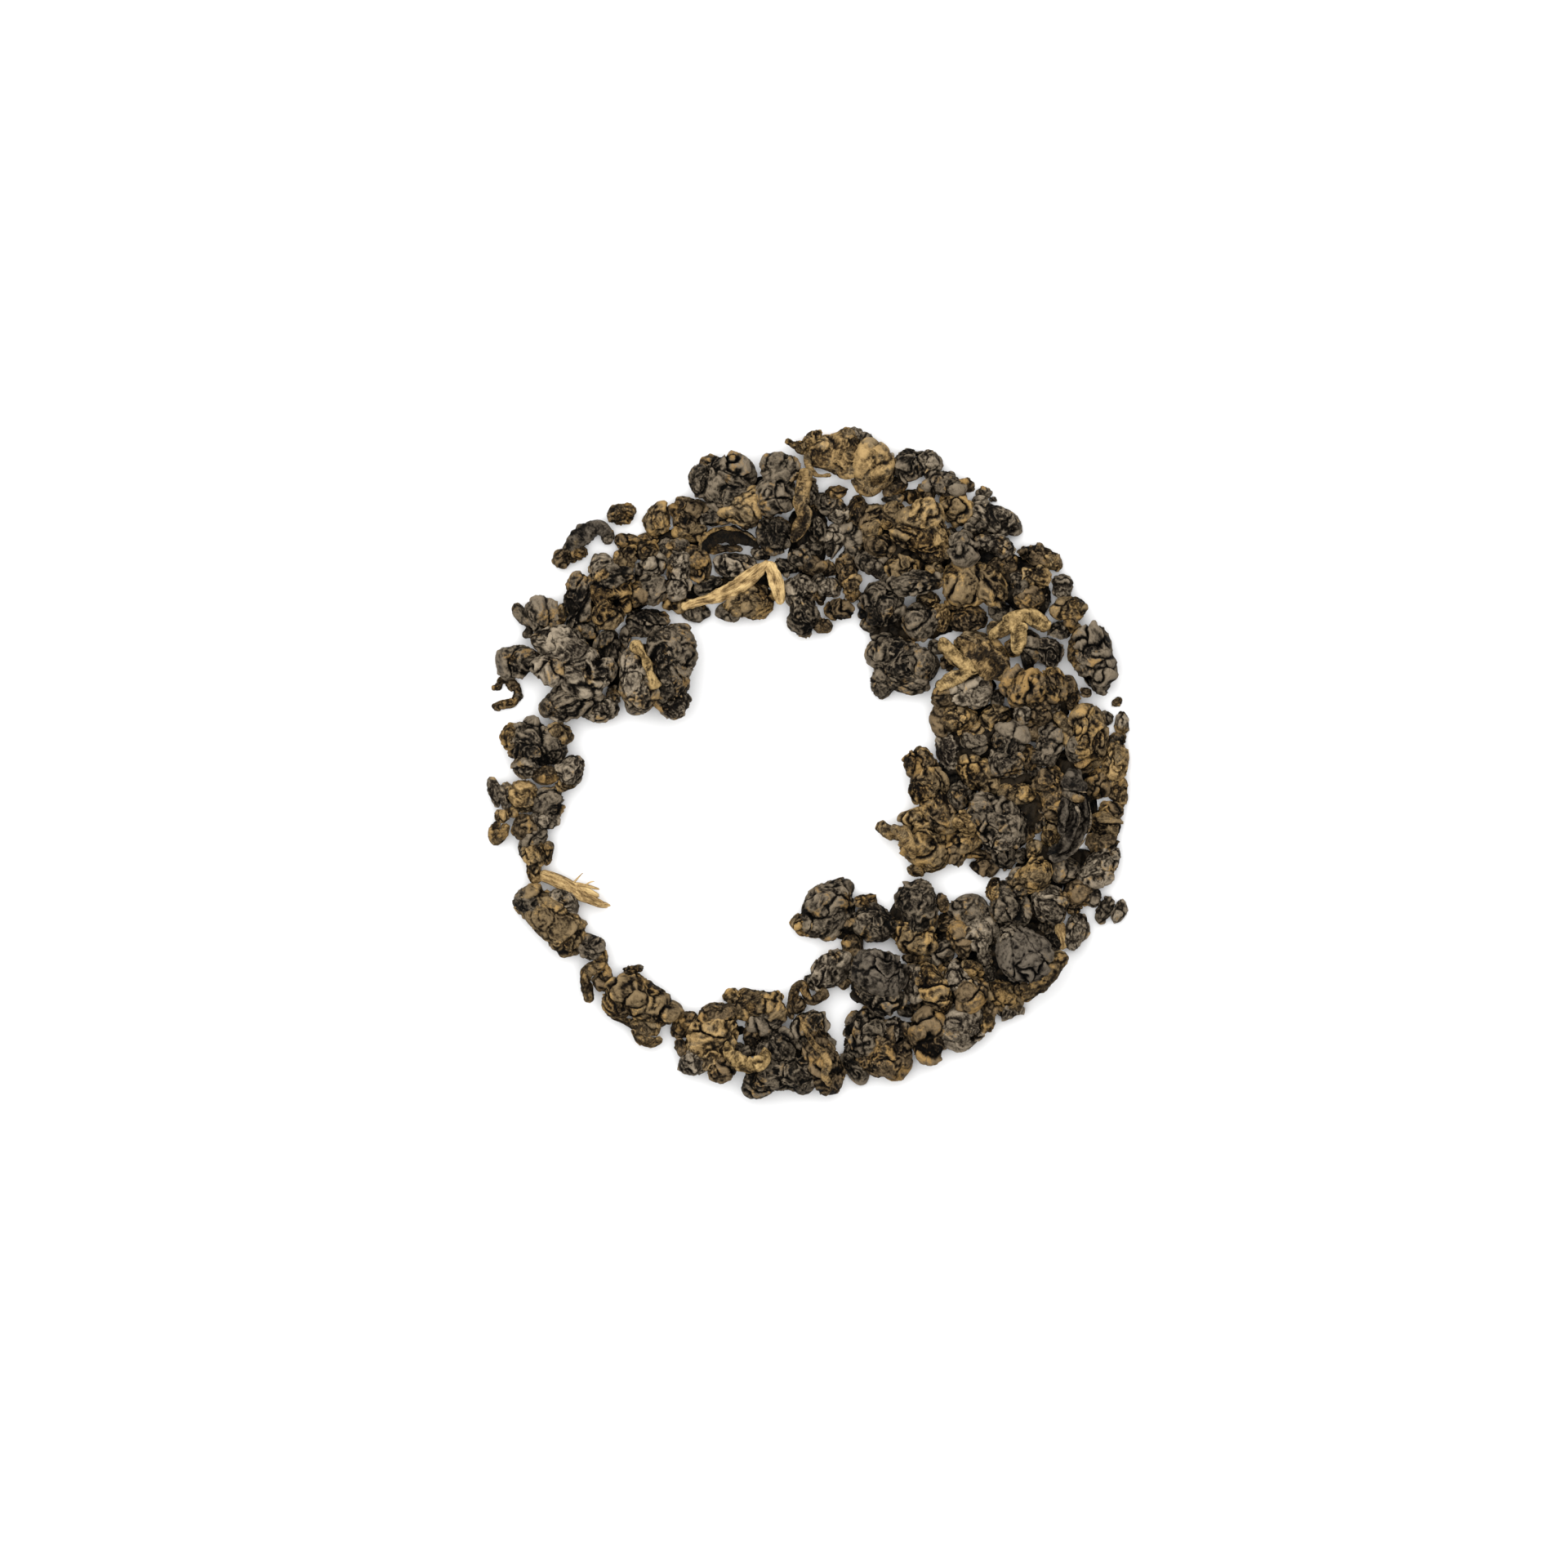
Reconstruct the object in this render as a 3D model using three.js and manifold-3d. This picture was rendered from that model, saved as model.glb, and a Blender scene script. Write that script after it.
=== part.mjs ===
// A ring of rolled oolong tea, poured by hand on a table: crumpled leaf pellets in a heaped crescent,
// closed on the left by single pellets, with bits of stem on top.
// Millimetres, +Z up. +X is right and +Y is away from the viewer who looks down at the ring.
// The origin is under the middle of the ring, on the table.
import * as THREE from "three";
import { mergeVertices } from "three/addons/utils/BufferGeometryUtils.js";
import Module from "manifold-3d";

const wasm = await Module();
wasm.setup();

// Places in the tables below are measured on a sheet under the ring: x to the right of the sheet's
// left edge and y down from its top edge, toward the viewer. The ring's middle is here.
const MIDDLE = { x: 98.8, y: 93.6 };

// A rolled pellet's height over its width, and a stem's or a leaf strip's
const PELLET_HEIGHT = 0.84;
const STRIP_HEIGHT = 0.8;
// How deep a pellet's foot is pressed flat on the table
const FOOT_BITE = 0.25;
// Pellets interlock: only this share of each one's breadth holds up what falls on it, and it gives by NESTLE
const BEARING_SHARE = 0.74;
const NESTLE = 1.1;
// The step of the grid on which falling pellets feel what lies below
const CELL = 0.4;
// Crumples: the number of bumps on a lobe, and how far each swells over the lobe's own radius
const BUMPS = 7;
const SWELL = 0.16;
// Lobes shorter than this have eight faces, and the others twenty
const SMALL = 3.3;
const STRIP_SIDES = 4;
const STRIP_STEP = 2.6;
const ROUGHNESS = 0.62;
const TABLE_SIZE = 200;
const TABLE_DEPTH = 12;

const BLACK = new THREE.Color(0x25211e);
const CHARCOAL = new THREE.Color(0x3b3733);
const GREY = new THREE.Color(0x5c564c);
const BROWN = new THREE.Color(0x5e4c33);
const TAN = new THREE.Color(0x80673f);
const GOLD = new THREE.Color(0xa38250);
const PALE = new THREE.Color(0xcba96c);

// A crumpled lobe of a pellet, seen from above: centre, length, width, turn in degrees and colour
const lobe = (x, y, length, width, turn, color) => ({
  x: x - MIDDLE.x,
  y: MIDDLE.y - y,
  length,
  width,
  height: width * PELLET_HEIGHT,
  turn: THREE.MathUtils.degToRad(turn),
  color,
});
// A hidden pellet of which only the upper half, up to a top, is above the table
const buried = (x, y, length, width, turn, top) => ({
  ...lobe(x, y, length, width, turn, BLACK),
  height: 2 * top,
});
// A stem or a rolled strip of leaf: its colour, then x, y and thickness at points along it
const strip = (color, ...path) => ({
  color,
  path: path.map(([x, y, thickness]) => ({ x: x - MIDDLE.x, y: MIDDLE.y - y, thickness })),
});
const pellet = (layer, ...pieces) => ({ layer, pieces });

// Each row is one pellet: the layer in which it came to lie, then its lobes and strips.
const HEAP = [
  // upper left end
  pellet(0, lobe(63.4, 81.2, 5.4, 4.4, 0, CHARCOAL)),
  pellet(0, lobe(66.3, 75.7, 4.2, 4.0, 0, CHARCOAL), strip(CHARCOAL, [63.0, 73.9, 1.0], [64.0, 75.2, 1.6],
    [65.6, 76.6, 1.8])),
  pellet(0, lobe(73.6, 69.5, 3.4, 3.4, 0, GREY)),
  pellet(0, lobe(76.8, 66.3, 3.2, 2.0, 0, BROWN), lobe(76.5, 68.5, 3.6, 2.6, 0, TAN)),
  pellet(0, lobe(79.5, 66.0, 2.8, 1.8, 0, BROWN)),
  pellet(0, lobe(80.5, 63.6, 3.8, 3.5, 90, TAN)),
  pellet(0, lobe(84.0, 62.2, 4.2, 3.2, 0, BROWN), lobe(84.5, 65.0, 4.6, 2.6, 0, TAN)),
  pellet(0, lobe(70.2, 86.2, 8.0, 4.6, 0, CHARCOAL), lobe(73.5, 86.8, 4.8, 2.6, 15, GREY)),
  pellet(0, lobe(77.5, 81.2, 4.0, 3.4, 90, CHARCOAL), lobe(78.0, 85.0, 4.6, 4.6, 0, GREY)),
  pellet(0, lobe(74.5, 79.5, 5.2, 3.6, 90, CHARCOAL)),
  pellet(1, lobe(69.0, 78.7, 8.2, 3.8, -5, GREY), lobe(67.5, 81.8, 4.6, 4.0, 0, GREY),
    lobe(72.5, 82.2, 5.2, 5.0, 0, GREY)),
  pellet(1, lobe(70.5, 74.0, 7.5, 4.8, 80, CHARCOAL)),
  pellet(1, lobe(74.8, 71.0, 6.0, 3.2, 0, CHARCOAL), lobe(74.7, 74.2, 4.6, 4.6, 0, TAN)),
  pellet(0, lobe(79.0, 75.7, 6.4, 4.8, 0, CHARCOAL)),
  pellet(1, lobe(79.8, 69.4, 3.8, 3.4, 0, GREY)),
  pellet(1, lobe(80.0, 72.1, 3.6, 3.0, 0, CHARCOAL)),
  pellet(1, lobe(83.2, 69.0, 3.6, 3.0, 0, GREY), lobe(82.8, 71.8, 3.6, 3.2, 0, GREY)),
  pellet(1, lobe(85.5, 69.0, 5.0, 2.8, 110, BROWN)),
  pellet(1, lobe(81.8, 80.4, 8.6, 6.2, 100, CHARCOAL), lobe(82.5, 86.2, 4.6, 4.4, 0, GREY)),
  pellet(2, strip(PALE, [77.6, 78.6, 1.3], [79.0, 80.5, 1.4], [79.6, 82.8, 1.3], [80.5, 84.6, 0.9])),
  // from the upper left end to the top
  pellet(0, strip(CHARCOAL, [86.5, 67.5, 1.4], [86.8, 65.5, 1.6], [89.3, 64.8, 1.5], [92.5, 66.2, 1.3])),
  pellet(0, lobe(90.3, 69.2, 5.4, 3.8, 0, GREY)),
  pellet(0, lobe(92.7, 73.7, 4.6, 4.0, 0, TAN), lobe(89.5, 74.9, 3.4, 2.6, 0, CHARCOAL)),
  pellet(3, strip(PALE, [83.4, 74.4, 1.2], [87.0, 73.3, 1.5], [90.5, 71.7, 1.6], [94.2, 68.8, 1.4])),
  pellet(3, strip(GOLD, [94.0, 68.6, 1.2], [95.2, 71.2, 1.4], [95.8, 74.2, 1.1])),
  pellet(0, lobe(88.2, 57.8, 7.4, 5.4, 0, CHARCOAL), lobe(89.0, 60.8, 6.2, 4.2, 0, CHARCOAL),
    lobe(91.1, 62.2, 3.4, 2.9, 90, GOLD)),
  pellet(0, lobe(95.8, 57.5, 4.2, 3.5, 0, CHARCOAL), lobe(95.0, 60.6, 5.2, 5.0, 0, CHARCOAL)),
  pellet(0, lobe(94.8, 65.3, 5.0, 4.6, 0, CHARCOAL)),
  pellet(0, lobe(96.5, 69.5, 3.6, 3.2, 0, CHARCOAL)),
  pellet(0, lobe(98.0, 72.5, 4.6, 4.0, 90, GREY), lobe(98.5, 76.0, 4.4, 4.6, 0, CHARCOAL)),
  pellet(2, strip(GOLD, [98.5, 58.8, 1.0], [98.2, 61.5, 1.3], [98.9, 63.5, 1.6], [97.2, 66.2, 1.2])),
  pellet(1, lobe(100.3, 56.0, 4.8, 4.6, 0, TAN), lobe(103.9, 55.0, 5.2, 4.4, 0, TAN),
    lobe(107.2, 57.0, 5.4, 4.2, 90, TAN), strip(TAN, [96.2, 53.8, 0.6], [97.6, 54.6, 1.0],
    [99.8, 54.4, 2.0])),
  pellet(0, lobe(101.0, 61.4, 3.8, 3.0, 0, CHARCOAL), lobe(102.6, 63.2, 3.0, 2.4, 0, GREY)),
  pellet(0, lobe(101.8, 66.2, 4.4, 3.2, 90, GREY)),
  pellet(0, lobe(103.6, 69.2, 2.8, 2.6, 0, BROWN), lobe(104.0, 71.6, 2.8, 2.6, 90, TAN)),
  pellet(0, lobe(103.0, 75.0, 4.2, 3.4, 0, BROWN)),
  // top
  pellet(0, lobe(111.3, 56.7, 4.4, 3.8, 80, CHARCOAL), lobe(113.7, 56.8, 3.6, 2.8, 90, GREY)),
  pellet(0, lobe(109.8, 59.5, 3.4, 3.0, 0, BROWN)),
  pellet(0, lobe(115.3, 59.4, 4.6, 3.6, 0, CHARCOAL), lobe(118.2, 59.7, 2.6, 1.7, 0, BROWN)),
  pellet(0, lobe(117.1, 62.4, 4.0, 3.8, 0, TAN)),
  pellet(0, lobe(119.7, 61.8, 2.8, 2.4, 0, GREY)),
  pellet(1, lobe(122.2, 63.5, 7.2, 4.2, -35, GREY)),
  pellet(1, lobe(113.0, 63.0, 4.4, 3.4, 0, GOLD), lobe(115.0, 66.2, 6.0, 2.6, 105, GOLD),
    lobe(111.2, 66.0, 4.6, 4.2, 0, TAN)),
  pellet(0, lobe(109.5, 63.5, 4.2, 3.6, 0, TAN)),
  pellet(0, lobe(106.8, 63.2, 3.6, 3.2, 0, TAN), lobe(106.0, 65.7, 3.6, 3.0, 0, TAN)),
  pellet(0, lobe(110.5, 69.8, 3.8, 3.6, 0, TAN)),
  pellet(0, lobe(112.0, 71.5, 6.2, 3.2, 0, CHARCOAL)),
  pellet(0, lobe(117.8, 67.2, 4.0, 3.6, 90, CHARCOAL)),
  pellet(0, lobe(122.0, 66.9, 5.8, 3.0, -10, GREY)),
  pellet(1, lobe(117.5, 71.7, 5.2, 4.8, 0, TAN), lobe(121.2, 71.8, 5.8, 4.6, 90, TAN)),
  pellet(0, lobe(126.2, 67.8, 4.2, 3.1, 0, BROWN), lobe(128.6, 68.9, 3.2, 2.2, -20, GOLD)),
  pellet(1, lobe(126.5, 70.8, 4.4, 3.4, 0, GOLD)),
  pellet(0, lobe(130.0, 71.8, 3.6, 3.1, 90, GREY)),
  pellet(0, lobe(131.0, 74.5, 4.6, 4.0, 0, TAN)),
  pellet(1, lobe(107.7, 74.5, 7.0, 6.2, 90, CHARCOAL)),
  pellet(0, lobe(112.4, 75.8, 4.6, 3.8, 90, CHARCOAL), lobe(115.2, 75.6, 4.2, 2.8, 90, GOLD)),
  pellet(0, lobe(118.5, 75.7, 4.6, 4.0, 0, BROWN)),
  // right of the top
  pellet(0, lobe(109.5, 79.7, 6.2, 4.2, 0, CHARCOAL), lobe(113.0, 81.5, 4.8, 4.6, 0, CHARCOAL),
    lobe(111.0, 83.8, 6.2, 2.8, 0, CHARCOAL)),
  pellet(1, lobe(119.0, 79.0, 4.8, 3.2, 0, GOLD), lobe(121.8, 81.2, 4.6, 4.0, 90, TAN)),
  pellet(1, strip(GOLD, [115.0, 78.4, 1.6], [117.4, 80.8, 1.9], [119.6, 82.2, 1.8]),
    strip(TAN, [115.0, 83.9, 1.4], [117.2, 83.0, 1.9], [119.8, 82.0, 1.8])),
  pellet(0, lobe(116.5, 85.0, 4.2, 2.8, 0, BROWN), lobe(119.6, 84.8, 3.8, 3.6, 0, GREY)),
  pellet(1, strip(GOLD, [120.8, 77.6, 1.8], [123.5, 76.5, 2.2], [125.4, 75.6, 2.2], [128.5, 76.8, 1.8]),
    strip(GOLD, [124.6, 76.6, 1.6], [124.8, 78.6, 1.8], [124.4, 80.2, 1.2])),
  pellet(0, lobe(128.5, 79.5, 5.0, 4.8, 90, GREY)),
  pellet(0, lobe(134.2, 81.1, 9.8, 5.8, 102, CHARCOAL), lobe(132.2, 79.4, 5.4, 3.4, 105, TAN)),
  pellet(1, lobe(125.8, 84.2, 4.8, 4.6, 0, BROWN), lobe(129.2, 84.0, 4.8, 3.0, 110, TAN)),
  pellet(0, lobe(127.2, 86.8, 4.2, 3.6, 90, BROWN)),
  pellet(2, strip(GOLD, [129.1, 87.0, 1.2], [130.5, 89.3, 1.7], [130.8, 91.7, 1.4])),
  pellet(0, lobe(128.3, 90.2, 3.8, 3.2, 0, GREY), lobe(127.8, 92.6, 3.2, 2.8, 0, CHARCOAL)),
  pellet(0, lobe(122.2, 87.7, 3.8, 3.6, 0, TAN)),
  pellet(1, lobe(123.5, 90.3, 4.6, 3.8, 0, GREY), lobe(122.8, 93.2, 4.0, 3.8, 0, GREY)),
  pellet(0, lobe(117.5, 88.0, 5.0, 3.4, 0, TAN), lobe(115.3, 88.5, 3.6, 2.2, 90, BROWN)),
  pellet(0, lobe(116.2, 91.7, 5.0, 4.0, 90, GREY)),
  pellet(0, lobe(112.2, 93.2, 4.2, 3.8, 0, BROWN), lobe(113.8, 96.2, 5.8, 4.6, 0, TAN),
    lobe(115.0, 100.1, 4.2, 3.4, 90, BROWN)),
  pellet(1, lobe(119.5, 94.8, 6.2, 4.4, -25, TAN)),
  pellet(0, lobe(133.1, 90.7, 7.6, 4.8, 95, TAN)),
  pellet(0, lobe(136.5, 93.4, 4.4, 3.0, 90, GOLD), lobe(136.7, 90.9, 3.0, 2.2, 0, CHARCOAL)),
  // right
  pellet(1, lobe(120.0, 98.8, 5.2, 4.0, 0, CHARCOAL), lobe(124.3, 100.7, 5.4, 3.6, 90, CHARCOAL),
    lobe(122.2, 103.0, 5.2, 3.8, 0, GREY)),
  pellet(0, lobe(118.9, 103.4, 3.6, 3.4, 0, BROWN)),
  pellet(0, lobe(120.3, 106.0, 3.8, 2.4, 0, BROWN)),
  pellet(1, lobe(124.3, 96.9, 4.8, 3.0, 0, TAN)),
  pellet(0, lobe(128.6, 95.7, 3.8, 3.2, 0, BROWN), lobe(129.1, 98.7, 4.2, 2.8, 90, BROWN)),
  pellet(1, lobe(128.8, 102.0, 4.6, 2.8, 90, PALE)),
  pellet(1, strip(BLACK, [130.2, 95.2, 3.0], [132.8, 97.0, 3.6], [132.8, 100.0, 3.6], [131.4, 103.2, 3.2],
    [128.5, 104.8, 2.4])),
  pellet(0, lobe(136.2, 99.2, 3.8, 2.2, 0, BROWN), lobe(135.2, 100.8, 4.2, 2.6, 0, TAN),
    lobe(135.2, 103.0, 4.2, 2.6, 0, BROWN)),
  pellet(0, lobe(136.9, 97.0, 4.4, 2.4, 90, TAN)),
  pellet(0, lobe(134.9, 105.4, 4.4, 3.6, 30, GREY), lobe(133.9, 107.2, 4.6, 2.8, 0, GREY)),
  pellet(0, lobe(131.3, 109.0, 2.8, 2.6, 0, BROWN), lobe(133.8, 109.6, 3.0, 2.4, 90, CHARCOAL)),
  pellet(1, lobe(127.0, 107.2, 4.6, 4.2, 0, TAN), lobe(124.6, 108.3, 3.6, 3.2, 90, GREY)),
  pellet(0, lobe(112.8, 103.0, 4.8, 4.6, 0, TAN), lobe(114.4, 104.4, 5.4, 4.2, 100, TAN),
    lobe(112.2, 106.5, 2.8, 2.2, 0, TAN), strip(GOLD, [107.3, 100.8, 1.4], [108.6, 101.8, 1.8],
    [112.2, 102.4, 2.2])),
  // lower right
  pellet(1, lobe(128.8, 110.8, 5.2, 4.8, 0, GREY)),
  pellet(0, lobe(131.6, 114.0, 5.8, 3.2, 90, GREY)),
  pellet(0, lobe(128.6, 115.2, 3.2, 3.0, 0, CHARCOAL), strip(PALE, [129.8, 112.8, 1.1], [129.9, 114.4, 1.6],
    [130.1, 116.3, 1.2])),
  pellet(0, lobe(118.3, 111.0, 5.2, 2.8, 0, CHARCOAL), lobe(119.6, 112.3, 3.8, 3.2, 0, GREY)),
  pellet(0, lobe(120.2, 114.5, 4.6, 3.8, 90, GREY), lobe(117.4, 115.2, 4.4, 2.4, -75, BROWN)),
  pellet(0, lobe(116.0, 113.2, 4.2, 2.2, 0, BROWN)),
  pellet(0, lobe(115.5, 116.3, 3.8, 3.4, 90, CHARCOAL)),
  pellet(1, lobe(123.8, 111.2, 5.0, 4.8, 0, CHARCOAL), lobe(121.8, 108.8, 3.6, 3.0, 90, TAN)),
  pellet(1, lobe(125.7, 117.2, 7.0, 6.6, 0, BLACK), lobe(123.6, 114.7, 3.8, 3.2, 0, GREY)),
  pellet(2, strip(TAN, [125.2, 122.6, 1.2], [126.6, 120.6, 2.0], [128.4, 118.6, 2.1], [130.2, 116.4, 1.4])),
  pellet(0, lobe(122.4, 121.3, 3.8, 3.6, 90, TAN), lobe(123.6, 123.5, 3.8, 2.8, 20, GREY)),
  pellet(1, lobe(116.7, 119.5, 4.4, 3.6, 90, GREY), lobe(118.9, 121.5, 3.8, 3.6, 90, BROWN)),
  pellet(1, lobe(118.0, 126.4, 6.8, 5.0, 18, GREY)),
  pellet(0, lobe(114.5, 121.5, 7.4, 4.6, -60, TAN)),
  pellet(0, lobe(113.5, 127.2, 6.0, 5.0, 90, BROWN)),
  pellet(0, lobe(112.5, 110.1, 5.6, 5.4, 0, CHARCOAL), lobe(112.2, 114.5, 5.6, 4.6, 0, TAN)),
  pellet(0, lobe(107.0, 112.7, 6.0, 5.2, 0, CHARCOAL)),
  pellet(0, lobe(101.8, 109.7, 6.4, 4.4, 10, CHARCOAL), lobe(103.0, 112.3, 4.4, 3.0, 0, BROWN),
    lobe(98.8, 113.0, 4.0, 3.4, 0, TAN)),
  pellet(0, lobe(104.6, 116.5, 5.0, 2.4, 85, BROWN)),
  pellet(0, lobe(101.0, 119.0, 6.6, 4.4, 58, GREY)),
  pellet(1, lobe(107.8, 119.0, 6.8, 5.0, 0, BLACK)),
  pellet(0, lobe(107.5, 121.8, 7.0, 4.8, -25, CHARCOAL)),
  pellet(0, lobe(105.7, 126.2, 5.8, 5.2, 0, CHARCOAL)),
  pellet(0, lobe(109.6, 126.5, 5.2, 3.6, 90, GREY), lobe(107.9, 129.9, 7.6, 4.0, 0, BROWN)),
  // bottom
  pellet(0, lobe(98.8, 125.2, 5.4, 4.6, 0, CHARCOAL), lobe(100.0, 127.8, 4.6, 4.2, 0, CHARCOAL),
    lobe(101.4, 131.2, 6.6, 4.6, -70, BROWN)),
  pellet(0, strip(BROWN, [96.8, 124.8, 1.0], [97.2, 121.6, 1.2], [98.3, 120.5, 1.2], [99.3, 122.4, 1.2],
    [101.4, 121.2, 1.2])),
  pellet(0, lobe(97.4, 131.4, 6.4, 5.6, 0, CHARCOAL), lobe(93.0, 132.2, 5.2, 4.6, 0, CHARCOAL)),
  pellet(0, lobe(95.0, 128.2, 5.2, 4.2, 0, CHARCOAL)),
  pellet(0, lobe(94.5, 124.8, 5.4, 3.6, 0, CHARCOAL), lobe(92.5, 122.6, 7.2, 3.5, 12, TAN)),
  pellet(0, lobe(92.2, 127.0, 3.8, 3.4, 90, BROWN)),
  pellet(1, strip(PALE, [89.3, 128.0, 1.3], [90.3, 129.8, 1.6], [92.0, 130.4, 1.7], [93.8, 129.4, 1.5],
    [93.9, 128.0, 1.2])),
  pellet(0, lobe(88.2, 124.3, 5.2, 3.6, 0, BROWN), lobe(85.8, 127.6, 5.2, 4.4, 0, GOLD),
    lobe(88.8, 130.6, 4.2, 3.6, 0, BROWN), lobe(85.0, 130.0, 3.6, 3.0, 0, GREY)),
  pellet(0, lobe(83.8, 125.5, 4.6, 2.6, 40, BROWN)),
  // lower left
  pellet(0, lobe(80.6, 123.9, 6.0, 4.8, 0, TAN), lobe(76.9, 120.4, 4.9, 4.2, 0, CHARCOAL),
    lobe(75.8, 122.8, 4.6, 4.2, 0, TAN), strip(GOLD, [74.6, 124.2, 1.0], [76.6, 125.0, 1.3],
    [78.6, 125.6, 1.6], [81.0, 125.8, 1.6]), strip(GOLD, [77.5, 125.8, 0.9], [78.4, 127.0, 1.4],
    [79.8, 127.5, 1.4], [81.2, 127.2, 0.7])),
  pellet(0, lobe(72.6, 116.0, 3.6, 3.0, 60, CHARCOAL), strip(TAN, [73.0, 115.0, 1.0], [73.6, 117.8, 1.4],
    [71.8, 119.0, 1.4], [71.9, 121.0, 1.6], [72.2, 122.8, 1.2]), strip(BROWN, [73.6, 117.2, 1.0],
    [74.4, 118.8, 1.1], [75.2, 121.4, 1.2])),
  pellet(0, lobe(64.8, 110.4, 4.2, 3.9, 0, CHARCOAL), lobe(67.8, 112.4, 7.2, 4.8, -52, TAN),
    lobe(69.2, 115.2, 4.4, 3.8, 0, BROWN)),
];

// Pellets that lie hidden under the others and tie the heap into one body, each with its height
const BURIED = [
  buried(70.0, 80.5, 9.0, 7.0, 20, 3.0),
  buried(78.5, 82.0, 10.0, 6.0, 0, 3.2),
  buried(76.0, 73.0, 13.0, 6.0, 10, 3.2),
  buried(82.5, 66.5, 11.0, 5.0, 10, 1.6),
  buried(83.0, 72.6, 8.0, 4.0, 0, 1.8),
  buried(91.5, 71.0, 10.0, 4.0, 20, 1.6),
  buried(92.8, 60.6, 10.0, 5.0, 0, 1.6),
  buried(99.0, 66.0, 11.0, 6.0, 90, 1.8),
  buried(103.8, 69.0, 9.0, 3.4, 70, 1.4),
  buried(111.0, 67.5, 10.0, 9.0, 0, 3.2),
  buried(119.5, 68.0, 10.0, 8.0, 0, 3.6),
  buried(124.5, 72.0, 11.0, 7.0, -50, 3.2),
  buried(112.0, 76.2, 12.0, 4.0, 10, 1.6),
  buried(118.0, 84.5, 9.0, 5.0, 0, 2.4),
  buried(127.0, 87.5, 9.0, 8.0, 90, 3.4),
  buried(120.5, 90.5, 10.0, 8.0, 0, 3.6),
  buried(116.5, 95.5, 8.0, 6.0, 90, 2.8),
  buried(123.5, 99.0, 11.0, 9.0, 90, 3.8),
  buried(131.0, 98.5, 12.0, 8.0, 90, 3.0),
  buried(126.5, 108.0, 10.0, 8.0, 70, 3.0),
  buried(132.0, 108.0, 8.0, 5.0, 60, 1.6),
  buried(123.5, 116.0, 11.0, 7.0, 60, 3.4),
  buried(117.0, 121.0, 11.0, 7.0, 60, 2.8),
  buried(117.0, 113.8, 7.0, 5.0, 0, 1.6),
  buried(110.5, 112.8, 9.0, 4.0, 20, 1.6),
  buried(103.8, 113.4, 6.0, 4.0, 0, 1.6),
  buried(107.5, 121.5, 8.0, 5.0, 0, 3.0),
  buried(109.0, 127.4, 12.0, 4.0, 0, 1.6),
  buried(96.5, 128.0, 12.0, 5.0, 0, 1.8),
  buried(87.0, 126.4, 10.0, 4.0, 0, 1.4),
];

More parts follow.
